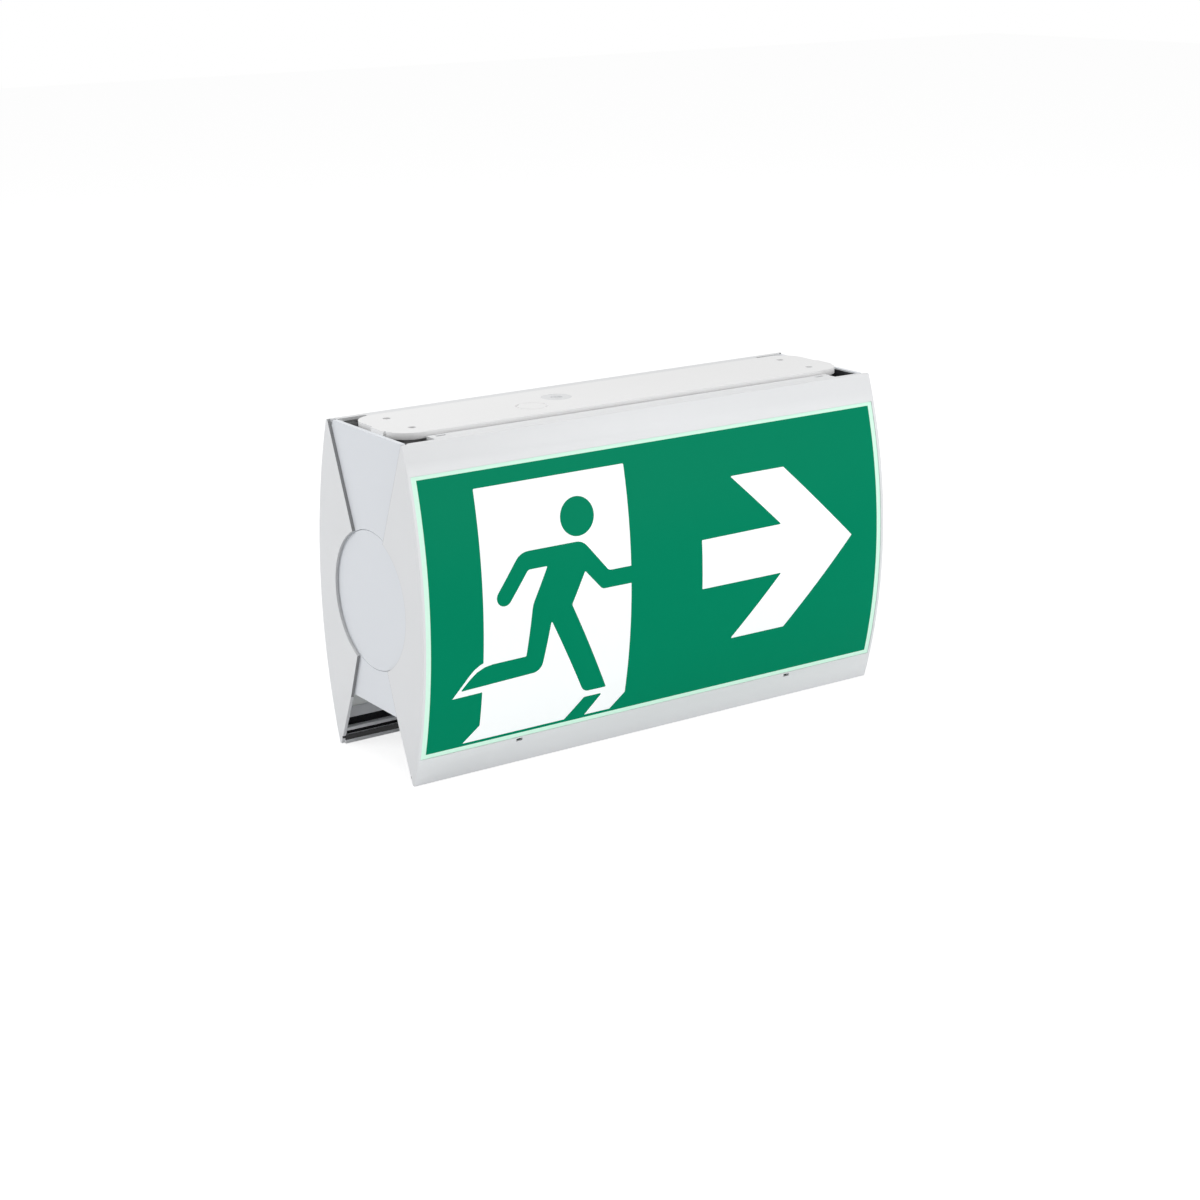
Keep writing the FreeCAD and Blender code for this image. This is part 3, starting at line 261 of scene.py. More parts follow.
# The joints between the covers' cheeks and the end walls. They are given for a quarter of an end, as
# millimetres from the middle plane and from the box's centre: rim, end of the bite, knee and the bite.
BOX_CENTRE = -0.110
SEAM_RIM = (46.8, 107.5)
SEAM_BITE = (19.45, 40.8)
SEAM_KNEE = (30.2, 70.0)
BITE_RADIUS = 45.2
JOINT_FROM = 0.1784


def near_seam(mix, width):
    """1 on the joint faces: within a width of the straight seams or, at a share, of the round bite. A
    point's distance from a straight seam is its offset from the bite's end across the seam's way."""
    across = mix.place("Y").size() * 1000.0
    up = (mix.place("Z") - BOX_CENTRE) * 1000.0
    lines = []
    for end, half in ((SEAM_RIM, up > SEAM_BITE[1]), (SEAM_KNEE, 0.0 - up > SEAM_BITE[1])):
        run, rise = end[0] - SEAM_BITE[0], end[1] - SEAM_BITE[1]
        length = math.hypot(run, rise)
        sideways = (across - SEAM_BITE[0]) * (rise / length)
        away = (sideways - (up.size() - SEAM_BITE[1]) * (run / length)).size()
        lines.append((width - away > 0) * half)
    reach = (across * across + up * up).root()
    bite = (width - (reach - BITE_RADIUS).size() > 0) * (across > SEAM_BITE[0] - width)
    return (lines[0] + lines[1] + bite * 0.45) * (mix.place("X").size() > JOINT_FROM)


# The covers' joint faces and the tops of their lower lips are given a dark tone by their place on the object,
# to match the dark lines seen there: this is painted shade, standing in for the shade in the narrow gaps
# beside the end walls and in the channels inside the skirts. What these surfaces really look like isn't
# known.
JOINT_WIDTH = 0.12
LIP_HALF = 0.0452
LIP_LOW = -0.2152
LIP_HIGH = -0.2119
cover = Finish("cover_white")
joint = near_seam(cover, JOINT_WIDTH)
height = cover.place("Z")
lip_painted_shade = (LIP_HALF - cover.place("Y").size() > 0) * (height > LIP_LOW) * (LIP_HIGH - height > 0)
cover_tone = cover.blend(cover.noise(9.0, 1.0), srgb(229, 230, 231), srgb(233, 234, 235))
# Painted shade: the joint faces go dark grey, and then the lip tops near-black.
shadowed = cover.blend(joint * 0.7, cover_tone, srgb(58, 60, 63))
cover_white = cover.surface({
    "Base Color": cover.blend(lip_painted_shade, shadowed, srgb(30, 30, 32)),
    "Roughness": cover.noise(70.0, 3.0) * 0.10 + 0.37,
    "Specular IOR Level": 0.45,
    "Normal": cover.bump(cover.noise(2600.0), 0.000012),
})
for side in ("front", "back"):
    dress(side + "_cover", cover_white, 0.0004)

# The chassis is a bluer white. Its deck is given a dark tone above, to match the dark gap seen under the
# mounting plate: this is painted shade, for the shade in that gap.
DECK_DARK_LOW = -0.0127
DECK_DARK_HIGH = -0.0036
DECK_DARK_HALF = 0.1756
body = Finish("chassis_white")
under_plate_shade = (body.place("Z") > DECK_DARK_LOW) * (DECK_DARK_HIGH - body.place("Z") > 0)
under_plate_shade = under_plate_shade * (DECK_DARK_HALF - body.place("X").size() > 0)
body_tone = body.blend(body.noise(9.0, 1.0), srgb(228, 231, 235), srgb(233, 236, 240))
chassis_white = body.surface({
    "Base Color": body.blend(under_plate_shade, body_tone, srgb(62, 63, 66)),
    "Roughness": body.noise(70.0, 3.0) * 0.10 + 0.45,
    "Specular IOR Level": 0.45,
    "Normal": body.bump(body.noise(2600.0), 0.000010),
})
dress("chassis", chassis_white, 0.0003)
plate_white = plastic("plate_white", srgb(243, 243, 243), 0.5, 2600.0, 0.000010)
dress("mounting_plate", plate_white, 0.0004)
for side in ("left", "right"):
    dress(side + "_end_cap", chassis_white, 0.00015)

# The legend panels: 2 mm acrylic sheet, screen printed on its face, bent into the covers' windows
# and lit from behind. The print is the common exit sign: a running figure, a doorway and an arrow.
FACE_RADIUS = 0.3371
FACE_CENTRE = 0.2710
PANEL_RECESS = 0.0004
PANEL_THICKNESS = 0.002
PANEL_HALF_LENGTH = 0.1783
PANEL_HALF_HEIGHT = 0.0891
FIELD_HALF_LENGTH = 0.175
FIELD_HALF_ARC = 0.0875
FIELD_RAISE = 0.0003
SHEET_SCALE = 0.350 / 1396
STRIP_ARC = 0.0058
LIGHT_ROWS = 0.078
SHARP_ANGLE = math.radians(40)
panel_radius = FACE_RADIUS - PANEL_RECESS
panel_half_arc = panel_radius * math.asin(PANEL_HALF_HEIGHT / panel_radius)


def rounded(corners):
    """A closed outline from (across, down, radius) corners of the artwork: each corner becomes the arc
    that touches both of its sides, whose centre lies on the corner's bisector."""
    outline = []
    for i, (x, y, radius) in enumerate(corners):
        here = np.array((x, y), float)
        if radius == 0:
            outline.append(here)
            continue
        back = np.array(corners[i - 1][:2], float) - here
        ahead = np.array(corners[(i + 1) % len(corners)][:2], float) - here
        back /= np.linalg.norm(back)
        ahead /= np.linalg.norm(ahead)
        opening = math.acos(np.clip(back @ ahead, -1, 1))
        reach = radius / math.tan(opening / 2)
        bisector = (back + ahead) / np.linalg.norm(back + ahead)
        centre = here + bisector * radius / math.sin(opening / 2)
        start = here + back * reach - centre
        sweep = math.pi - opening
        way = np.sign(back[0] * ahead[1] - back[1] * ahead[0])
        steps = np.linspace(0, -way * sweep, max(3, int(sweep / 0.16)))
        arc = np.column_stack((start[0] * np.cos(steps) - start[1] * np.sin(steps),
                               start[0] * np.sin(steps) + start[1] * np.cos(steps)))
        outline.extend(centre + arc)
    return outline


DOORWAY = [(149, 42, 3), (588, 42, 3), (583, 649, 4), (541, 690, 0), (103, 690, 0), (148, 648, 4)]
FOOT_HALO = [(210, 471, 0), (135, 474, 90), (63, 557, 0), (210, 554, 0)]
ARROW = [(912, 122, 2), (1087, 122, 2), (1307, 339, 2), (1087, 562, 2), (911, 562, 2), (1068, 405, 2),
         (809, 405, 2), (809, 274, 2), (1068, 272, 2)]
RUNNER = [(261, 215, 46), (179, 324, 22), (214, 351, 22), (281, 262, 12), (337, 262, 2), (291, 352, 60),
          (272, 484, 3), (138, 486, 90), (85, 541, 2), (318, 533, 30), (345, 404, 2), (452, 620, 26),
          (521, 620, 2), (406, 373, 9), (447, 293, 2), (497, 348, 16), (600, 348, 0), (600, 303, 0),
          (518, 303, 16), (444, 215, 42)]
SHADOW = [(400, 692, 0), (456, 636, 4), (511, 636, 3), (462, 692, 0)]
HEAD_CENTRE = (434, 152)
HEAD_RADIUS = 50


def on_sheet(outline):
    """Artwork units, counted down from the field's top left, to metres on the unbent sheet."""
    points = np.array(outline, float)
    across = points[:, 0] * SHEET_SCALE - FIELD_HALF_LENGTH
    up = FIELD_HALF_ARC + FIELD_RAISE - points[:, 1] * SHEET_SCALE
    return np.column_stack((across, up))


def box_outline(half_length, low, high):
    """The corners of a box on the unbent sheet, between two heights."""
    return np.array(((-half_length, low), (half_length, low), (half_length, high), (-half_length, high)))


head_turn = np.linspace(0, 2 * math.pi, 65)[:-1]
head = np.column_stack((HEAD_CENTRE[0] + HEAD_RADIUS * np.cos(head_turn),
                        HEAD_CENTRE[1] + HEAD_RADIUS * np.sin(head_turn)))
MINT, GREEN, WHITE, PLAIN = range(4)
field = box_outline(FIELD_HALF_LENGTH, FIELD_RAISE - FIELD_HALF_ARC, FIELD_RAISE + FIELD_HALF_ARC)
print_layers = [
    (box_outline(PANEL_HALF_LENGTH, -panel_half_arc, panel_half_arc), MINT),
    (field, GREEN),
    (on_sheet(rounded(DOORWAY)), WHITE),
    (on_sheet(rounded(FOOT_HALO)), WHITE),
    (on_sheet(rounded(ARROW)), WHITE),
    (on_sheet(rounded(RUNNER)), GREEN),
    (on_sheet(rounded(SHADOW)), GREEN),
    (on_sheet(head), GREEN),
]


def inside(spots, outline):
    """Whether each spot lies in a closed outline: a ray to the right crosses its sides an odd number
    of times. A side is crossed where it spans the spot's height and passes to the right of it."""
    x, y = spots[:, 0, None], spots[:, 1, None]
    ends = np.roll(outline, -1, axis=0)
    spans = (outline[:, 1] > y) != (ends[:, 1] > y)
    rise = np.where(ends[:, 1] == outline[:, 1], 1.0, ends[:, 1] - outline[:, 1])
    reach = outline[:, 0] + (ends[:, 0] - outline[:, 0]) * (y - outline[:, 1]) / rise
    return ((spans & (reach > x)).sum(axis=1) % 2).astype(bool)


def printed_face():
    """Flat triangles of the printed face and the ink of each: the outlines and a set of level lines
    cut the sheet into triangles, and the last layer that covers a triangle gives its ink."""
    points = []
    faces = []
    for outline, _ in print_layers:
        faces.append(list(range(len(points), len(points) + len(outline))))
        points.extend(outline)
    edges = []
    count = int(2 * panel_half_arc / STRIP_ARC)
    for level in np.linspace(-panel_half_arc, panel_half_arc, count + 1)[1:-1]:
        edges.append((len(points), len(points) + 1))
        points.extend(((-PANEL_HALF_LENGTH, level), (PANEL_HALF_LENGTH, level)))
    made = delaunay_2d_cdt([Vector(p) for p in points], edges, faces, 1, 1e-7, True)
    flat = np.array([tuple(p) for p in made[0]])
    triangles = np.array(made[2])
    middles = flat[triangles].mean(axis=1)
    ink = np.full(len(triangles), MINT)
    for outline, layer_ink in print_layers[1:]:
        ink[inside(middles, np.array(outline))] = layer_ink
    return flat, triangles, ink


def bent(flat, radius, faces_back):
    """The unbent sheet rolled onto a cylinder about a level axis: the arc length up the sheet over the
    printed face's radius is the angle."""
    angle = flat[:, 1] / panel_radius
    way = -1.0 if faces_back else 1.0
    return np.column_stack((way * flat[:, 0], -way * (radius * np.cos(angle) - FACE_CENTRE),
                            BOX_CENTRE + radius * np.sin(angle)))


def solid_sheet(flat, triangles, faces_back):
    """Printed face, plain back face and the narrow walls between them as one closed mesh."""
    count = len(flat)
    points = np.vstack((bent(flat, panel_radius, faces_back),
                        bent(flat, panel_radius - PANEL_THICKNESS, faces_back)))
    sides = np.vstack((triangles[:, (0, 1)], triangles[:, (1, 2)], triangles[:, (2, 0)]))
    known = {(a, b) for a, b in sides.tolist()}
    rim = [(a, b) for a, b in known if (b, a) not in known]
    walls = [(a, a + count, b + count, b) for a, b in rim]
    return points, triangles.tolist(), (triangles[:, ::-1] + count).tolist(), walls


def light_bands(mix):
    """1 at the levels of the two rows of light sources, falling to 0 midway between them."""
    bands = ((mix.place("Z") - BOX_CENTRE) * (math.pi / LIGHT_ROWS)).sine()
    return bands * bands


def print_ink(name, colour, glow_share, roughness):
    """Ink on acrylic that lets some light through: brighter in two level bands before the light boards."""
    mix = Finish(name)
    cloud = mix.noise(14.0, 1.0)
    dim = tuple(0.93 * c for c in colour)
    amount = light_bands(mix) * 0.35 + cloud * 0.5
    return mix.surface({
        "Base Color": mix.blend(cloud, tuple(0.97 * c for c in colour), colour),
        "Roughness": mix.noise(160.0, 2.0) * 0.06 + roughness,
        "Specular IOR Level": 0.02,
        "Emission Color": mix.blend(amount, dim, colour),
        "Emission Strength": glow_share,
        "Normal": mix.bump(mix.noise(900.0, 1.0), 0.000004),
    })


inks = [print_ink("border_ink", srgb(206, 240, 222), 0.20, 0.34),
        print_ink("green_ink", srgb(0, 125, 90), 0.20, 0.34),
        print_ink("white_ink", srgb(244, 246, 246), 0.22, 0.34),
        print_ink("plain_acrylic", srgb(240, 243, 242), 0.10, 0.22)]
flat, triangles, ink_of = printed_face()
for side, cover_body, faces_back in (("front", "front_cover", False), ("back", "back_cover", True)):
    points, printed, plain, walls = solid_sheet(flat, triangles, faces_back)
    mesh = bpy.data.meshes.new(side + "_printed_sheet")
    mesh.from_pydata(points.tolist(), [], printed + plain + walls)
    mesh.update()
    for ink in inks:
        mesh.materials.append(ink)
    slots = np.concatenate((ink_of, np.full(len(plain) + len(walls), PLAIN)))
    mesh.polygons.foreach_set("material_index", slots.astype(np.int32))
    mesh.polygons.foreach_set("use_smooth", np.concatenate((np.ones(len(printed) + len(plain), bool),
                                                            np.zeros(len(walls), bool))))
    mesh.set_sharp_from_angle(angle=SHARP_ANGLE)
    sheet = bpy.data.objects.new(side + "_printed_sheet", mesh)
    scene.collection.objects.link(sheet)
    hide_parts(side + "_legend_panel")
    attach(sheet, cover_body)


# Shapes of the pieces made here: boxes, turned shapes and leads, each a closed mesh in metres.
MM = 0.001


def box(centre, size):
    """A closed box given in millimetres; the piece's bevel rounds its edges."""
    corners = np.array([(x, y, z) for z in (-0.5, 0.5) for y in (-0.5, 0.5) for x in (-0.5, 0.5)])
    faces = [(0, 2, 3, 1), (4, 5, 7, 6), (0, 1, 5, 4), (2, 6, 7, 3), (0, 4, 6, 2), (1, 3, 7, 5)]
    return (corners * np.array(size) + np.array(centre)) * MM, faces


def ringed(rings, first_pole, last_pole):
    """Closes a row of equal rings of points: quads between rings and a fan to a pole at each end."""
    count = rings.shape[1]
    points = np.vstack((rings.reshape(-1, 3), first_pole, last_pole))
    faces = []
    for j in range(count):
        k = (j + 1) % count
        for ring in range(len(rings) - 1):
            low = ring * count
            faces.append((low + j, low + k, low + count + k, low + count + j))
        last = (len(rings) - 1) * count
        faces.append((k, j, len(points) - 2))
        faces.append((last + j, last + k, len(points) - 1))
    return points, faces


def turned(profile, place, axis="z", count=28):
    """A turned shape in millimetres: the profile runs from pole to pole as (radius, height along the
    axis), and each of its points becomes a ring."""
    angle = np.linspace(0, 2 * math.pi, count, endpoint=False)
    radius = np.array([p[0] for p in profile[1:-1]], float)[:, None]
    level = np.repeat(np.array([p[1] for p in profile[1:-1]], float)[:, None], count, axis=1)
    rings = np.stack((radius * np.cos(angle), radius * np.sin(angle), level), axis=-1)
    points, faces = ringed(rings, (0, 0, profile[0][1]), (0, 0, profile[-1][1]))
    order = {"z": (0, 1, 2), "x": (2, 0, 1), "y": (1, 2, 0)}[axis]
    return (points[:, order] + np.array(place)) * MM, faces


def lead(path, radius, count=10, steps=7):
    """A round lead through places in millimetres: a Catmull-Rom curve (at t between b and c:
    half of 2b + (c - a)t + (2a - 5b + 4c - d)tt + (3b - a - 3c + d)ttt) with a ring at each step, in a
    frame that is carried along without twist."""
    knots = np.array(path, float)
    knots = np.vstack((2 * knots[0] - knots[1], knots, 2 * knots[-1] - knots[-2]))
    spots = []
    for i in range(1, len(knots) - 2):
        a, b, c, d = knots[i - 1:i + 3]
        for t in np.arange(steps) / steps:
            spots.append(0.5 * (2 * b + (c - a) * t + (2 * a - 5 * b + 4 * c - d) * t**2
                                + (3 * b - a - 3 * c + d) * t**3))
    spots.append(knots[-2])
    spots = np.array(spots)
    ahead = np.gradient(spots, axis=0)
    ahead /= np.linalg.norm(ahead, axis=1, keepdims=True)
    angle = np.linspace(0, 2 * math.pi, count, endpoint=False)[:, None]
    side = np.array((0.31, 0.52, 0.79))
    rings = []
    for spot, way in zip(spots, ahead):
        side = side - way * (side @ way)
        side /= np.linalg.norm(side)
        rings.append(spot + radius * (np.cos(angle) * side + np.sin(angle) * np.cross(way, side)))
    points, faces = ringed(np.array(rings), spots[0], spots[-1])
    return points * MM, faces


def add_piece(name, parts, material, body="housing", bevel=0.0):
    """One object from several closed shapes, with rounded edges if wanted. It rides on a body, unless that is
    None."""
    points = np.vstack([p for p, _ in parts])
    faces = []
    start = 0
    for part_points, part_faces in parts:
        faces.extend([tuple(i + start for i in face) for face in part_faces])
        start += len(part_points)
    mesh = bpy.data.meshes.new(name)
    mesh.from_pydata(points.tolist(), [], faces)
    mesh.update()
    mesh.materials.append(material)
    mesh.polygons.foreach_set("use_smooth", np.ones(len(faces), bool))
    mesh.set_sharp_from_angle(angle=SHARP_ANGLE)
    piece = bpy.data.objects.new(name, mesh)
    scene.collection.objects.link(piece)
    if bevel:
        edge = piece.modifiers.new("edge", "BEVEL")
        edge.width = bevel * MM
        edge.segments = 2
        edge.limit_method = "ANGLE"
    if body:
        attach(piece, body)
    return piece


# Diffusers: opal acrylic sheets behind the print. They spread the light of the two rows of light
# sources, so they glow a little more in two level bands.
opal = Finish("opal_acrylic")
opal_material = opal.surface({
    "Base Color": opal.blend(opal.noise(25.0), srgb(236, 238, 236), srgb(246, 247, 245)),
    "Roughness": opal.noise(300.0) * 0.08 + 0.42,
    "Specular IOR Level": 0.35,
    "Emission Color": opal.blend(light_bands(opal), srgb(150, 152, 148), srgb(190, 192, 186)),
    "Emission Strength": 0.18,
    "Normal": opal.bump(opal.noise(1800.0), 0.000006),
})
for side in ("front", "back"):
    dress(side + "_diffuser", opal_material)

# Edge strips: black cellular foam glued into the channels inside the skirts; their black stands in for the
# shade deep in those channels, so it is painted shade. Its open cells show as small pits, painted darker at
# their middles.
foam = Finish("black_foam")
cells = foam.node("ShaderNodeTexVoronoi", {}, {"Vector": foam.place(), "Scale": 1400.0}, "Distance")
foam_shade_material = foam.surface({
    "Base Color": foam.blend(cells, srgb(16, 16, 18), srgb(46, 47, 50)),
    "Roughness": cells * 0.1 + 0.82,
    "Specular IOR Level": 0.2,
    "Normal": foam.bump(cells, 0.00015),
})
for side in ("front", "back"):
    dress(side + "_edge_strips", foam_shade_material)

# Reflectors: thin sheet steel, folded and powder coated white.
# The coat has the usual shallow orange-peel waviness.
powder = Finish("white_powder_coat")
peel = powder.noise(420.0, 1.0)
powder_material = powder.surface({
    "Base Color": powder.blend(powder.noise(12.0), srgb(232, 232, 230), srgb(242, 242, 240)),
    "Roughness": powder.noise(120.0) * 0.08 + 0.36,
    "Specular IOR Level": 0.4,
    "Normal": powder.bump(peel, 0.00003),
})
for side in ("front", "back"):
    dress(side + "_reflector", powder_material)

# Light boards: aluminium-backed boards with a white solder mask, tinned pads beside each light source
# and a faint raised track along each edge. Their small series resistors and end connectors stand here.
LED_PITCH = 0.026
LIGHT_LEVELS = (-71.0, -149.0)


def from_lights(mix):
    """Distances from the nearest light source, along its row and across it."""
    along = ((mix.place("X") / LED_PITCH + 0.5).fraction() - 0.5).size() * LED_PITCH
    across = ((mix.place("Z") - BOX_CENTRE).size() - LIGHT_ROWS / 2).size()
    return along, across


board = Finish("white_light_board")
along, off_row = from_lights(board)
pad = (along > 0.0022) * (0.0044 - along > 0) * (0.0011 - off_row > 0)
track = (off_row > 0.0036) * (0.0042 - off_row > 0)
board_material = board.surface({
    "Base Color": board.blend(pad, board.blend(track * 0.6, srgb(238, 240, 238), srgb(214, 220, 214)),
                              srgb(196, 198, 200)),
    "Roughness": board.noise(500.0) * 0.08 + (0.40 - pad * 0.1),
    "Metallic": pad,
    "Normal": board.bump(track + pad, 0.00004),
})
resistor_material = plastic("chip_black", srgb(34, 34, 36), 0.42, 1500.0, 0.000008)
tinned_material = plastic("tinned_metal", srgb(200, 202, 204), 0.28, 900.0, 0.000006, metallic=1.0)
nylon_material = plastic("natural_nylon", srgb(228, 222, 202), 0.48, 1200.0, 0.000012)
for side, way in (("front", -1), ("back", 1)):
    dress(side + "_led_boards", board_material)
    resistors = []
    ends = []
    plugs = []
    for level in LIGHT_LEVELS:
        for step in range(-2, 3):
            across = 52.0 * step + 13.0
            resistors.append(box((across, way * 24.85, level), (2.0, 0.5, 1.3)))
            for end in (-1, 1):
                ends.append(box((across + end * 1.25, way * 24.8, level), (0.5, 0.5, 1.25)))
        plugs.append(box((140.6, way * 25.6, level), (6.5, 2.2, 5.0)))
    add_piece(side + "_board_resistors", resistors, resistor_material, bevel=0.08)
    add_piece(side + "_board_resistor_ends", ends, tinned_material, bevel=0.06)
    add_piece(side + "_board_plugs", plugs, nylon_material, bevel=0.25)

# Light sources: a white ceramic frame round a pale yellow phosphor that glows faintly.
source = Finish("light_source_face")
from_middle, from_row = from_lights(source)
phosphor = (0.00125 - from_middle > 0) * (0.00125 - from_row > 0)
source_material = source.surface({
    "Base Color": source.blend(phosphor, srgb(240, 238, 230), srgb(250, 232, 120)),
    "Roughness": source.noise(2000.0) * 0.1 + (0.45 - phosphor * 0.2),
    "Emission Color": source.blend(phosphor, (0.0, 0.0, 0.0), srgb(255, 240, 170)),
    "Emission Strength": 0.5,
})
for side in ("front", "back"):
    dress(side + "_leds", source_material)

# Cable grommet: soft grey rubber with a thin membrane, which the cable pierces in its middle.
rubber = plastic("grey_rubber", srgb(226, 227, 228), 0.72, 700.0, 0.00002, specular=0.25)
dress("cable_grommet", rubber)
membrane = [(0, -4.2), (2.6, -4.2), (2.7, -1.6), (3.98, -1.6), (3.98, -0.9), (2.4, -0.9), (2.1, -1.2),
            (2.0, -3.8), (0, -3.8)]
add_piece("grommet_membrane", [turned(membrane, (-36, 6, 0))], rubber)

# Deck screws: four zinc-plated pan heads with a cross recess under the deck, where it is screwed to
# the mounting plate's bosses.
BOSS_X = 140.0
BOSS_Y = 10.0
DECK_UNDER = -15.0
zinc = Finish("zinc_screw")
across = (zinc.place("X").size() - BOSS_X * MM).size()
beside = (zinc.place("Y").size() - BOSS_Y * MM).size()
# The cross recess is painted near-black: painted shade in the recess, over a dent.
cross = ((0.0004 - across > 0) * (0.0015 - beside > 0) + (0.0004 - beside > 0) * (0.0015 - across > 0)) > 0.5
zinc_material = zinc.surface({
    "Base Color": zinc.blend(cross, zinc.blend(zinc.noise(400.0), srgb(176, 178, 182), srgb(206, 208, 212)),
                             srgb(40, 40, 42)),
    "Roughness": zinc.noise(800.0) * 0.12 + 0.26,
    "Metallic": 1.0 - cross * 0.8,
    "Normal": zinc.bump(cross * -1.0, 0.0004),
})
heads = [turned([(0, -2.2), (1.6, -2.1), (2.8, -1.6), (3.4, -0.7), (3.5, 0), (0, 0)], (x, y, DECK_UNDER))
         for x in (-BOSS_X, BOSS_X) for y in (-BOSS_Y, BOSS_Y)]
add_piece("deck_screws", heads, zinc_material)

# Terminal block: natural nylon, with a brass clamp in each wire mouth and a slotted steel screw below each
# end of every pole. The screw slots are painted dark: painted shade.
POLES = (-96.0, -86.0, -76.0)
POLE_PITCH = 0.010
TERMINAL_UNDER = -31.1
dress("terminal_block", nylon_material, 0.0003)
brass = plastic("brass", srgb(206, 172, 96), 0.30, 700.0, 0.00001, metallic=1.0)
clamps = []
for x in POLES:
    clamps.append(box((x, 0, -26.95), (4.8, 15.0, 0.5)))
    clamps.append(box((x, 0, -22.45), (4.8, 15.0, 0.5)))
    for edge in (-2.2, 2.2):
        clamps.append(box((x + edge, 0, -24.7), (0.5, 15.0, 4.0)))
add_piece("terminal_clamps", clamps, brass, bevel=0.1)
slotted = Finish("slotted_screw")
slot_beside = ((slotted.place("X") / POLE_PITCH + 0.1).fraction() - 0.5).size() * POLE_PITCH
slot_shade = 0.00035 - slot_beside > 0
slotted_material = slotted.surface({
    "Base Color": slotted.blend(slot_shade, srgb(186, 188, 192), srgb(44, 44, 46)),
    "Roughness": slotted.noise(900.0) * 0.1 + 0.3,
    "Metallic": 1.0 - slot_shade * 0.8,
    "Normal": slotted.bump(slot_shade * -1.0, 0.0003),
})
TERMINAL_HEAD = [(0, -0.7), (1.7, -0.65), (2.0, -0.4), (2.0, 0), (0, 0)]
terminal_heads = [turned(TERMINAL_HEAD, (x, y, TERMINAL_UNDER)) for x in POLES for y in (-5.0, 5.0)]
add_piece("terminal_screws", terminal_heads, slotted_material)

# Battery: two cells in a blue heat-shrunk sleeve. The sleeve is drawn in and wrinkled at the ends,
# and carries a plain pale band where such packs have their rating printed.
BATTERY = (-140.0, -6.0)
sleeve = Finish("battery_sleeve")
place = sleeve.place("X")
from_centre = (place - sum(BATTERY) / 2 * MM).size()
end = (from_centre - 0.058) * 110.0
stretched = sleeve.node("ShaderNodeVectorMath", {"operation": "MULTIPLY"},
                        {0: sleeve.place(), 1: (1.0, 0.12, 0.12)})
wrinkle = sleeve.noise(900.0, 2.0, stretched)
label = 0.034 - from_centre > 0
line = (from_centre > 0.030) * (0.031 - from_centre > 0)
sleeve_material = sleeve.surface({
    "Base Color": sleeve.blend(label, sleeve.blend(sleeve.noise(30.0), srgb(26, 66, 142), srgb(38, 86, 170)),
                               sleeve.blend(line, srgb(226, 228, 230), srgb(38, 86, 170))),
    "Roughness": sleeve.noise(150.0) * 0.1 + 0.24,
    "Specular IOR Level": 0.5,
    "Normal": sleeve.bump(wrinkle * (end > 0) * end, 0.0002),
})
dress("battery_pack", sleeve_material, 0.0004)
dress("battery_cradle", chassis_white, 0.0003)

# Control board: glass-fibre laminate with a green solder mask. Copper areas below the mask look
# lighter, and the solder side, towards the front, has rows of soldered joints.
BOARD_FACE = -12.4
laminate = Finish("green_laminate")
copper = laminate.node("ShaderNodeTexVoronoi", {"distance": "CHEBYCHEV"},
                       {"Vector": laminate.place(), "Scale": 210.0, "Randomness": 0.85}, "Color")
pour = laminate.node("ShaderNodeSeparateXYZ", {}, {0: copper}, "X") > 0.45
row = ((laminate.place("X") / 0.00508).fraction() - 0.5).size()
line = ((laminate.place("Z") / 0.00762).fraction() - 0.5).size()
solder_side = -0.0139 - laminate.place("Y") > 0
joint = (0.16 - row > 0) * (0.11 - line > 0) * solder_side * (laminate.noise(90.0, 0.0) > 0.47)
laminate_material = laminate.surface({
    "Base Color": laminate.blend(joint, laminate.blend(pour, srgb(14, 74, 44), srgb(30, 108, 64)),
                                 srgb(196, 198, 202)),
    "Roughness": laminate.noise(260.0) * 0.1 + 0.32,
    "Metallic": joint,
    "Normal": laminate.bump(pour * 0.3 + joint, 0.00012),
})
dress("control_board", laminate_material)

# Small parts on the board: a controller and driver chips, film and electrolytic capacitors, a ring
# choke, power resistors, a relay and their leads. They are simple standard shapes.
film = plastic("film_capacitor", srgb(196, 150, 40), 0.34, 500.0, 0.00001)
can_sleeve = plastic("small_can_sleeve", srgb(34, 40, 62), 0.34, 500.0, 0.000008)
ceramic = plastic("resistor_ceramic", srgb(222, 216, 200), 0.6, 900.0, 0.00002)
chips = [box((62, BOARD_FACE + 1.0, -137), (10, 2.0, 7)), box((96, BOARD_FACE + 0.9, -134), (6, 1.8, 5)),
         box((37, BOARD_FACE + 4.5, -140), (9, 9.0, 4.5)),
         box((128, BOARD_FACE + 5.5, -112), (10, 11.0, 4.5))]
legs = []
for x, z, count, half in ((62, -137, 7, 4.3), (96, -134, 4, 3.2)):
    for step in range(count):
        for up in (-1, 1):
            legs.append(box((x + (step - (count - 1) / 2) * 1.27, BOARD_FACE + 0.35, z + up * half),
                            (0.45, 0.7, 1.4)))
for x, z, low in ((37, -140, 3.0), (128, -112, 3.0)):
    for step in (-2.5, 0, 2.5):
        legs.append(box((x + step, BOARD_FACE + 0.2, z - low), (0.8, 0.4, 0.6)))
relay = [box((124, BOARD_FACE + 6.0, -164), (16, 12.0, 10))]
films = [box((33.5, BOARD_FACE + 4.0, -118), (6, 8.0, 14)), box((42, BOARD_FACE + 3.5, -160.5), (13, 7.0, 6)),
         box((83, BOARD_FACE + 4.5, -112), (6, 9.0, 13))]
cans = [turned([(0, 0), (3.1, 0), (3.15, 0.5), (2.95, 1.2), (3.15, 1.8), (3.15, 10.6), (2.8, 11), (0, 10.9)],
               (x, BOARD_FACE, z), "y") for x, z in ((72, -162), (82, -162), (126, -134))]
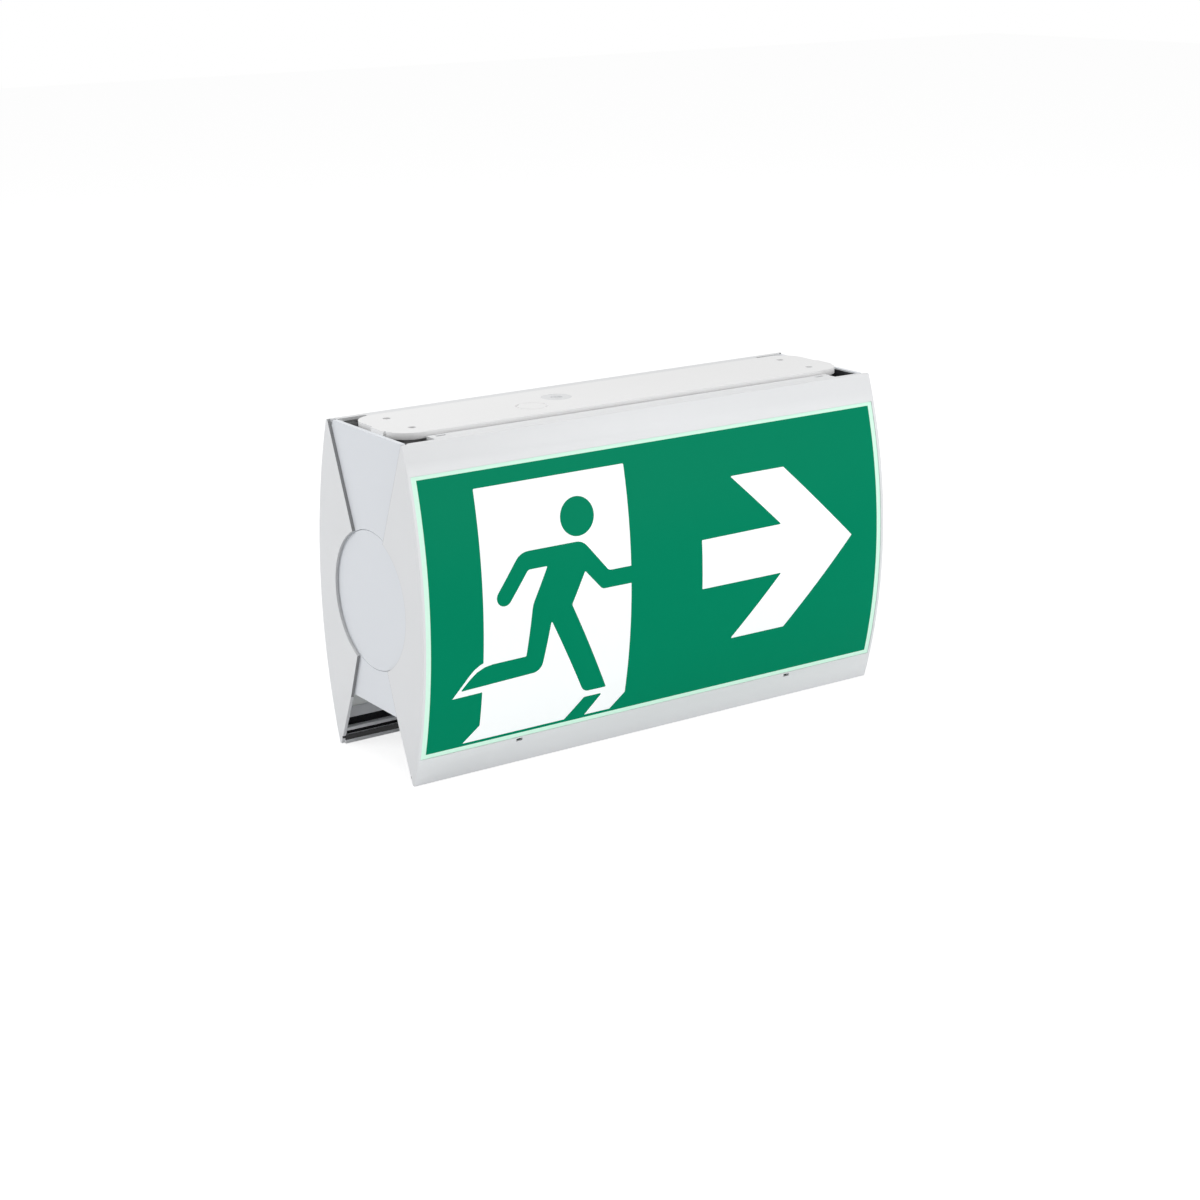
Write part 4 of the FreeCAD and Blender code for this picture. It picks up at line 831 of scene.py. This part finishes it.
RESISTOR = [(0, -4.6), (1.5, -4.5), (1.9, -3.8), (1.9, -2.4), (1.6, -1.9), (1.6, 1.9), (1.9, 2.4),
            (1.9, 3.8), (1.5, 4.5), (0, 4.6)]
resistor_places = ((98, -162), (98, -168), (56, -168), (110, -128))
resistor_bodies = [turned(RESISTOR, (x, BOARD_FACE + 2.4, z), "x", 18) for x, z in resistor_places]
for x, z in resistor_places:
    legs.append(lead([(x - 6.5, BOARD_FACE - 0.2, z), (x - 6.3, BOARD_FACE + 1.6, z),
                      (x - 4.4, BOARD_FACE + 2.4, z)], 0.35, 8, 4))
    legs.append(lead([(x + 4.4, BOARD_FACE + 2.4, z), (x + 6.3, BOARD_FACE + 1.6, z),
                      (x + 6.5, BOARD_FACE - 0.2, z)], 0.35, 8, 4))
choke = []
for step in range(22):
    angle = 2 * math.pi * step / 22
    ring = []
    for part in range(9):
        bend = 2 * math.pi * part / 8
        reach = 5.6 + 2.5 * math.cos(bend)
        ring.append((76 + reach * math.cos(angle), BOARD_FACE + 4.2 + 3.4 * math.sin(bend),
                     -140 + reach * math.sin(angle)))
    choke.append(lead(ring, 0.42, 6, 2))
copper_wire = plastic("enamelled_copper", srgb(176, 96, 48), 0.26, 300.0, 0.000004, metallic=1.0)
add_piece("board_chips", chips, resistor_material, bevel=0.25)
add_piece("board_legs", legs, tinned_material)
add_piece("board_relay", relay, plastic("relay_case", srgb(222, 224, 226), 0.34, 800.0, 0.000008),
          bevel=0.5)
add_piece("board_film_capacitors", films, film, bevel=0.8)
add_piece("board_small_cans", cans, can_sleeve)
add_piece("board_resistors", resistor_bodies, ceramic)
add_piece("board_choke", choke, copper_wire)

# Transformer: a ferrite core with chamfered edges, its winding wrapped in yellow polyester tape.
ferrite = Finish("transformer_core_and_tape")
from_core = (ferrite.place("X") - 0.059).size()
tape = 0.0088 - from_core > 0
overlap = (ferrite.place("Z") * 900.0 + ferrite.noise(60.0) * 2.0).sine()
ferrite_material = ferrite.surface({
    "Base Color": ferrite.blend(tape, ferrite.blend(ferrite.noise(500.0), srgb(52, 52, 54), srgb(70, 70, 72)),
                                ferrite.blend(ferrite.noise(80.0), srgb(214, 178, 62), srgb(232, 198, 84))),
    "Roughness": ferrite.noise(300.0) * 0.1 + (0.62 - tape * 0.34),
    "Specular IOR Level": 0.45,
    "Normal": ferrite.bump(ferrite.noise(1300.0) * (1.0 - tape) + overlap * tape * 0.3, 0.00006),
})
dress("transformer", ferrite_material, 0.0006)

# Large capacitors: aluminium cans in a dark sleeve with a pale stripe; the bare top has its vent cross.
can = Finish("capacitor_can")
sideways = (((can.place("X") - 0.089) / 0.014).fraction() - 0.5) * 0.014
upward = can.place("Z") + 0.1151
top = can.place("Y") > 0.0052
bare = top * (0.0000190 - sideways * sideways - upward * upward > 0)
vent = ((0.00025 - sideways.size() > 0) + (0.00025 - upward.size() > 0)) > 0.5
stripe = (sideways > 0.0040) * (1.0 - top)
sleeve_tone = can.blend(stripe, srgb(32, 34, 52), srgb(196, 200, 208))
can_material = can.surface({
    "Base Color": can.blend(bare, sleeve_tone, srgb(206, 208, 212)),
    "Roughness": can.noise(200.0) * 0.08 + 0.3,
    "Metallic": bare,
    "Normal": can.bump(vent * bare * -1.0, 0.0003),
})
dress("capacitors", can_material, 0.0005)

# Board connectors: white-grey nylon housings; their contact openings are painted as dark squares on their
# faces, painted shade over a shallow dent.
housing = Finish("connector_housing")
u = ((housing.place("X") / 0.0025).fraction() - 0.5).size()
v = ((housing.place("Z") + 0.1506) / 0.0025).size()
opening_shade = (0.28 - u > 0) * (0.5 - v > 0) * (housing.place("Y") > -0.0046)
housing_material = housing.surface({
    "Base Color": housing.blend(opening_shade, srgb(228, 222, 202), srgb(36, 34, 32)),
    "Roughness": housing.noise(600.0) * 0.08 + 0.44,
    "Normal": housing.bump(opening_shade * -1.0, 0.0005),
})
dress("board_connectors", housing_material, 0.0003)

# Test button, spring and switch: a dark glossy button, a zinc-plated coil spring, and a black switch with two
# tinned legs. The status lens beside them is clear green plastic, given a faint painted glow of its own. The
# spring stands on the button's flange and is pressed against the housing, so it is drawn as a coil that
# closes up between them.
dress("test_button", plastic("button_plastic", srgb(58, 60, 64), 0.32, 900.0, 0.000008), 0.0003)
SPRING_AXIS = 4.0
SPRING_RADIUS = 4.7
SPRING_WIRE = 0.6
SPRING_TURNS = 2.5
spring_steel = plastic("spring_steel", srgb(178, 180, 184), 0.24, 1500.0, 0.000004, metallic=1.0)
spring_low, spring_high = (corner.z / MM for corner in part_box("button_spring"))
way_round = np.linspace(0, 2 * math.pi * SPRING_TURNS, 31)
way_up = np.linspace(spring_low + SPRING_WIRE / 2, spring_high - SPRING_WIRE / 2, 31)
coil_path = np.column_stack((SPRING_AXIS + SPRING_RADIUS * np.cos(way_round),
                             SPRING_RADIUS * np.sin(way_round), way_up))
coil = add_piece("button_coil", [lead(coil_path, SPRING_WIRE / 2, 12, 3)], spring_steel, body=None)
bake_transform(coil)
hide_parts("button_spring")
dress("button_spring", spring_steel)
dress("test_switch", plastic("switch_case", srgb(40, 41, 44), 0.46, 1300.0, 0.000012), 0.0003)
add_piece("switch_legs", [box((x, 0, -158.2), (0.8, 3.0, 3.6)) for x in (0.0, 8.0)], tinned_material,
          bevel=0.1)
lens = Finish("green_lens")
lens_material = lens.surface({
    "Base Color": lens.blend(lens.noise(300.0), srgb(54, 168, 84), srgb(90, 200, 110)),
    "Roughness": lens.noise(500.0) * 0.05 + 0.12,
    "Coat Weight": 0.4,
    "Emission Color": lens.blend(lens.noise(200.0), srgb(40, 190, 80), srgb(80, 230, 120)),
    "Emission Strength": 0.35,
    "Normal": lens.bump(lens.noise(900.0), 0.000006),
})
dress("status_lens", lens_material)

# Leads: PVC-covered wires from the terminal and the battery to the control board, on to the switch
# and round the reflectors' right ends to the light boards. Each ends in its connector or solder pad.
def pvc(name, red, green, blue):
    return plastic(name, srgb(red, green, blue), 0.38, 400.0, 0.00001)


PLUG_Y = -5
PLUG_Z = -150.6
LEADS = (
    ("lead_brown", (110, 66, 40), 0.95, [
        [(-96, 8, -24.7), (-95, 13, -25), (-80, 16, -34), (-30, 15, -60), (20, 9, -92), (46, 0, -132),
         (50.5, -3, -147), (50.5, PLUG_Y, PLUG_Z)]]),
    ("lead_blue", (40, 90, 170), 0.95, [
        [(-86, 8, -24.7), (-85, 13.5, -25), (-68, 17, -36), (-24, 17, -62), (24, 11, -94), (49, 1, -133),
         (53, -2.6, -147), (53, PLUG_Y, PLUG_Z)]]),
    ("lead_green", (96, 168, 60), 0.95, [
        [(-76, 8, -24.7), (-75, 13, -25), (-56, 18.6, -38), (-18, 19, -64), (28, 13, -96), (52, 2, -134),
         (55.5, -2.2, -147), (55.5, PLUG_Y, PLUG_Z)]]),
    ("lead_red", (180, 40, 36), 0.7, [
        [(-6.5, 3, -146), (-2, 4, -144), (10, 6, -143), (40, 8, -142), (70, 4, -145), (79.5, -1, -149),
         (79.5, PLUG_Y, PLUG_Z)]]),
    ("lead_black", (36, 36, 38), 0.7, [
        [(-6.5, -3, -146), (-2, -3, -143.5), (10, 4, -140.5), (40, 6, -139.4), (72, 3, -143),
         (82, -1, -148.6), (82, PLUG_Y, PLUG_Z)],
        [(0, 0, -156.6), (1, 1, -152), (12, 5, -147), (40, 5, -145), (74, 2, -147), (84.5, -1, -149.5),
         (84.5, PLUG_Y, PLUG_Z)],
        [(8, 0, -156.6), (9, 2, -153), (18, 6.5, -149), (42, 7, -147), (76, 4.5, -148), (87, -0.6, -150),
         (87, PLUG_Y, PLUG_Z)]]),
)
for name, colour, radius, paths in LEADS:
    add_piece(name, [lead(path, radius) for path in paths], pvc(name + "_pvc", *colour))
lamp_leads = []
for way in (-1, 1):
    for level in LIGHT_LEVELS:
        for step in (0, 1):
            start = 106.5 + 2.5 * (step + (1 + way)) + (level - LIGHT_LEVELS[1]) / (LIGHT_ROWS / MM) * 0.6
            lamp_leads.append(lead([(start, PLUG_Y, PLUG_Z), (start + 1, -1, -150 + step),
                                    (124, 2, -148 + step), (146, 2 + way * 6, (level - 148) / 2 + step),
                                    (157, way * 16, level + 3 * step), (158, way * 23, level + 1.6 * step),
                                    (153, way * 27, level + 1.6 * step - 1),
                                    (143.2, way * 25.8, level + 1.6 * step - 0.8)], 0.55))
add_piece("lamp_leads", lamp_leads, pvc("white_pvc", 226, 226, 222))
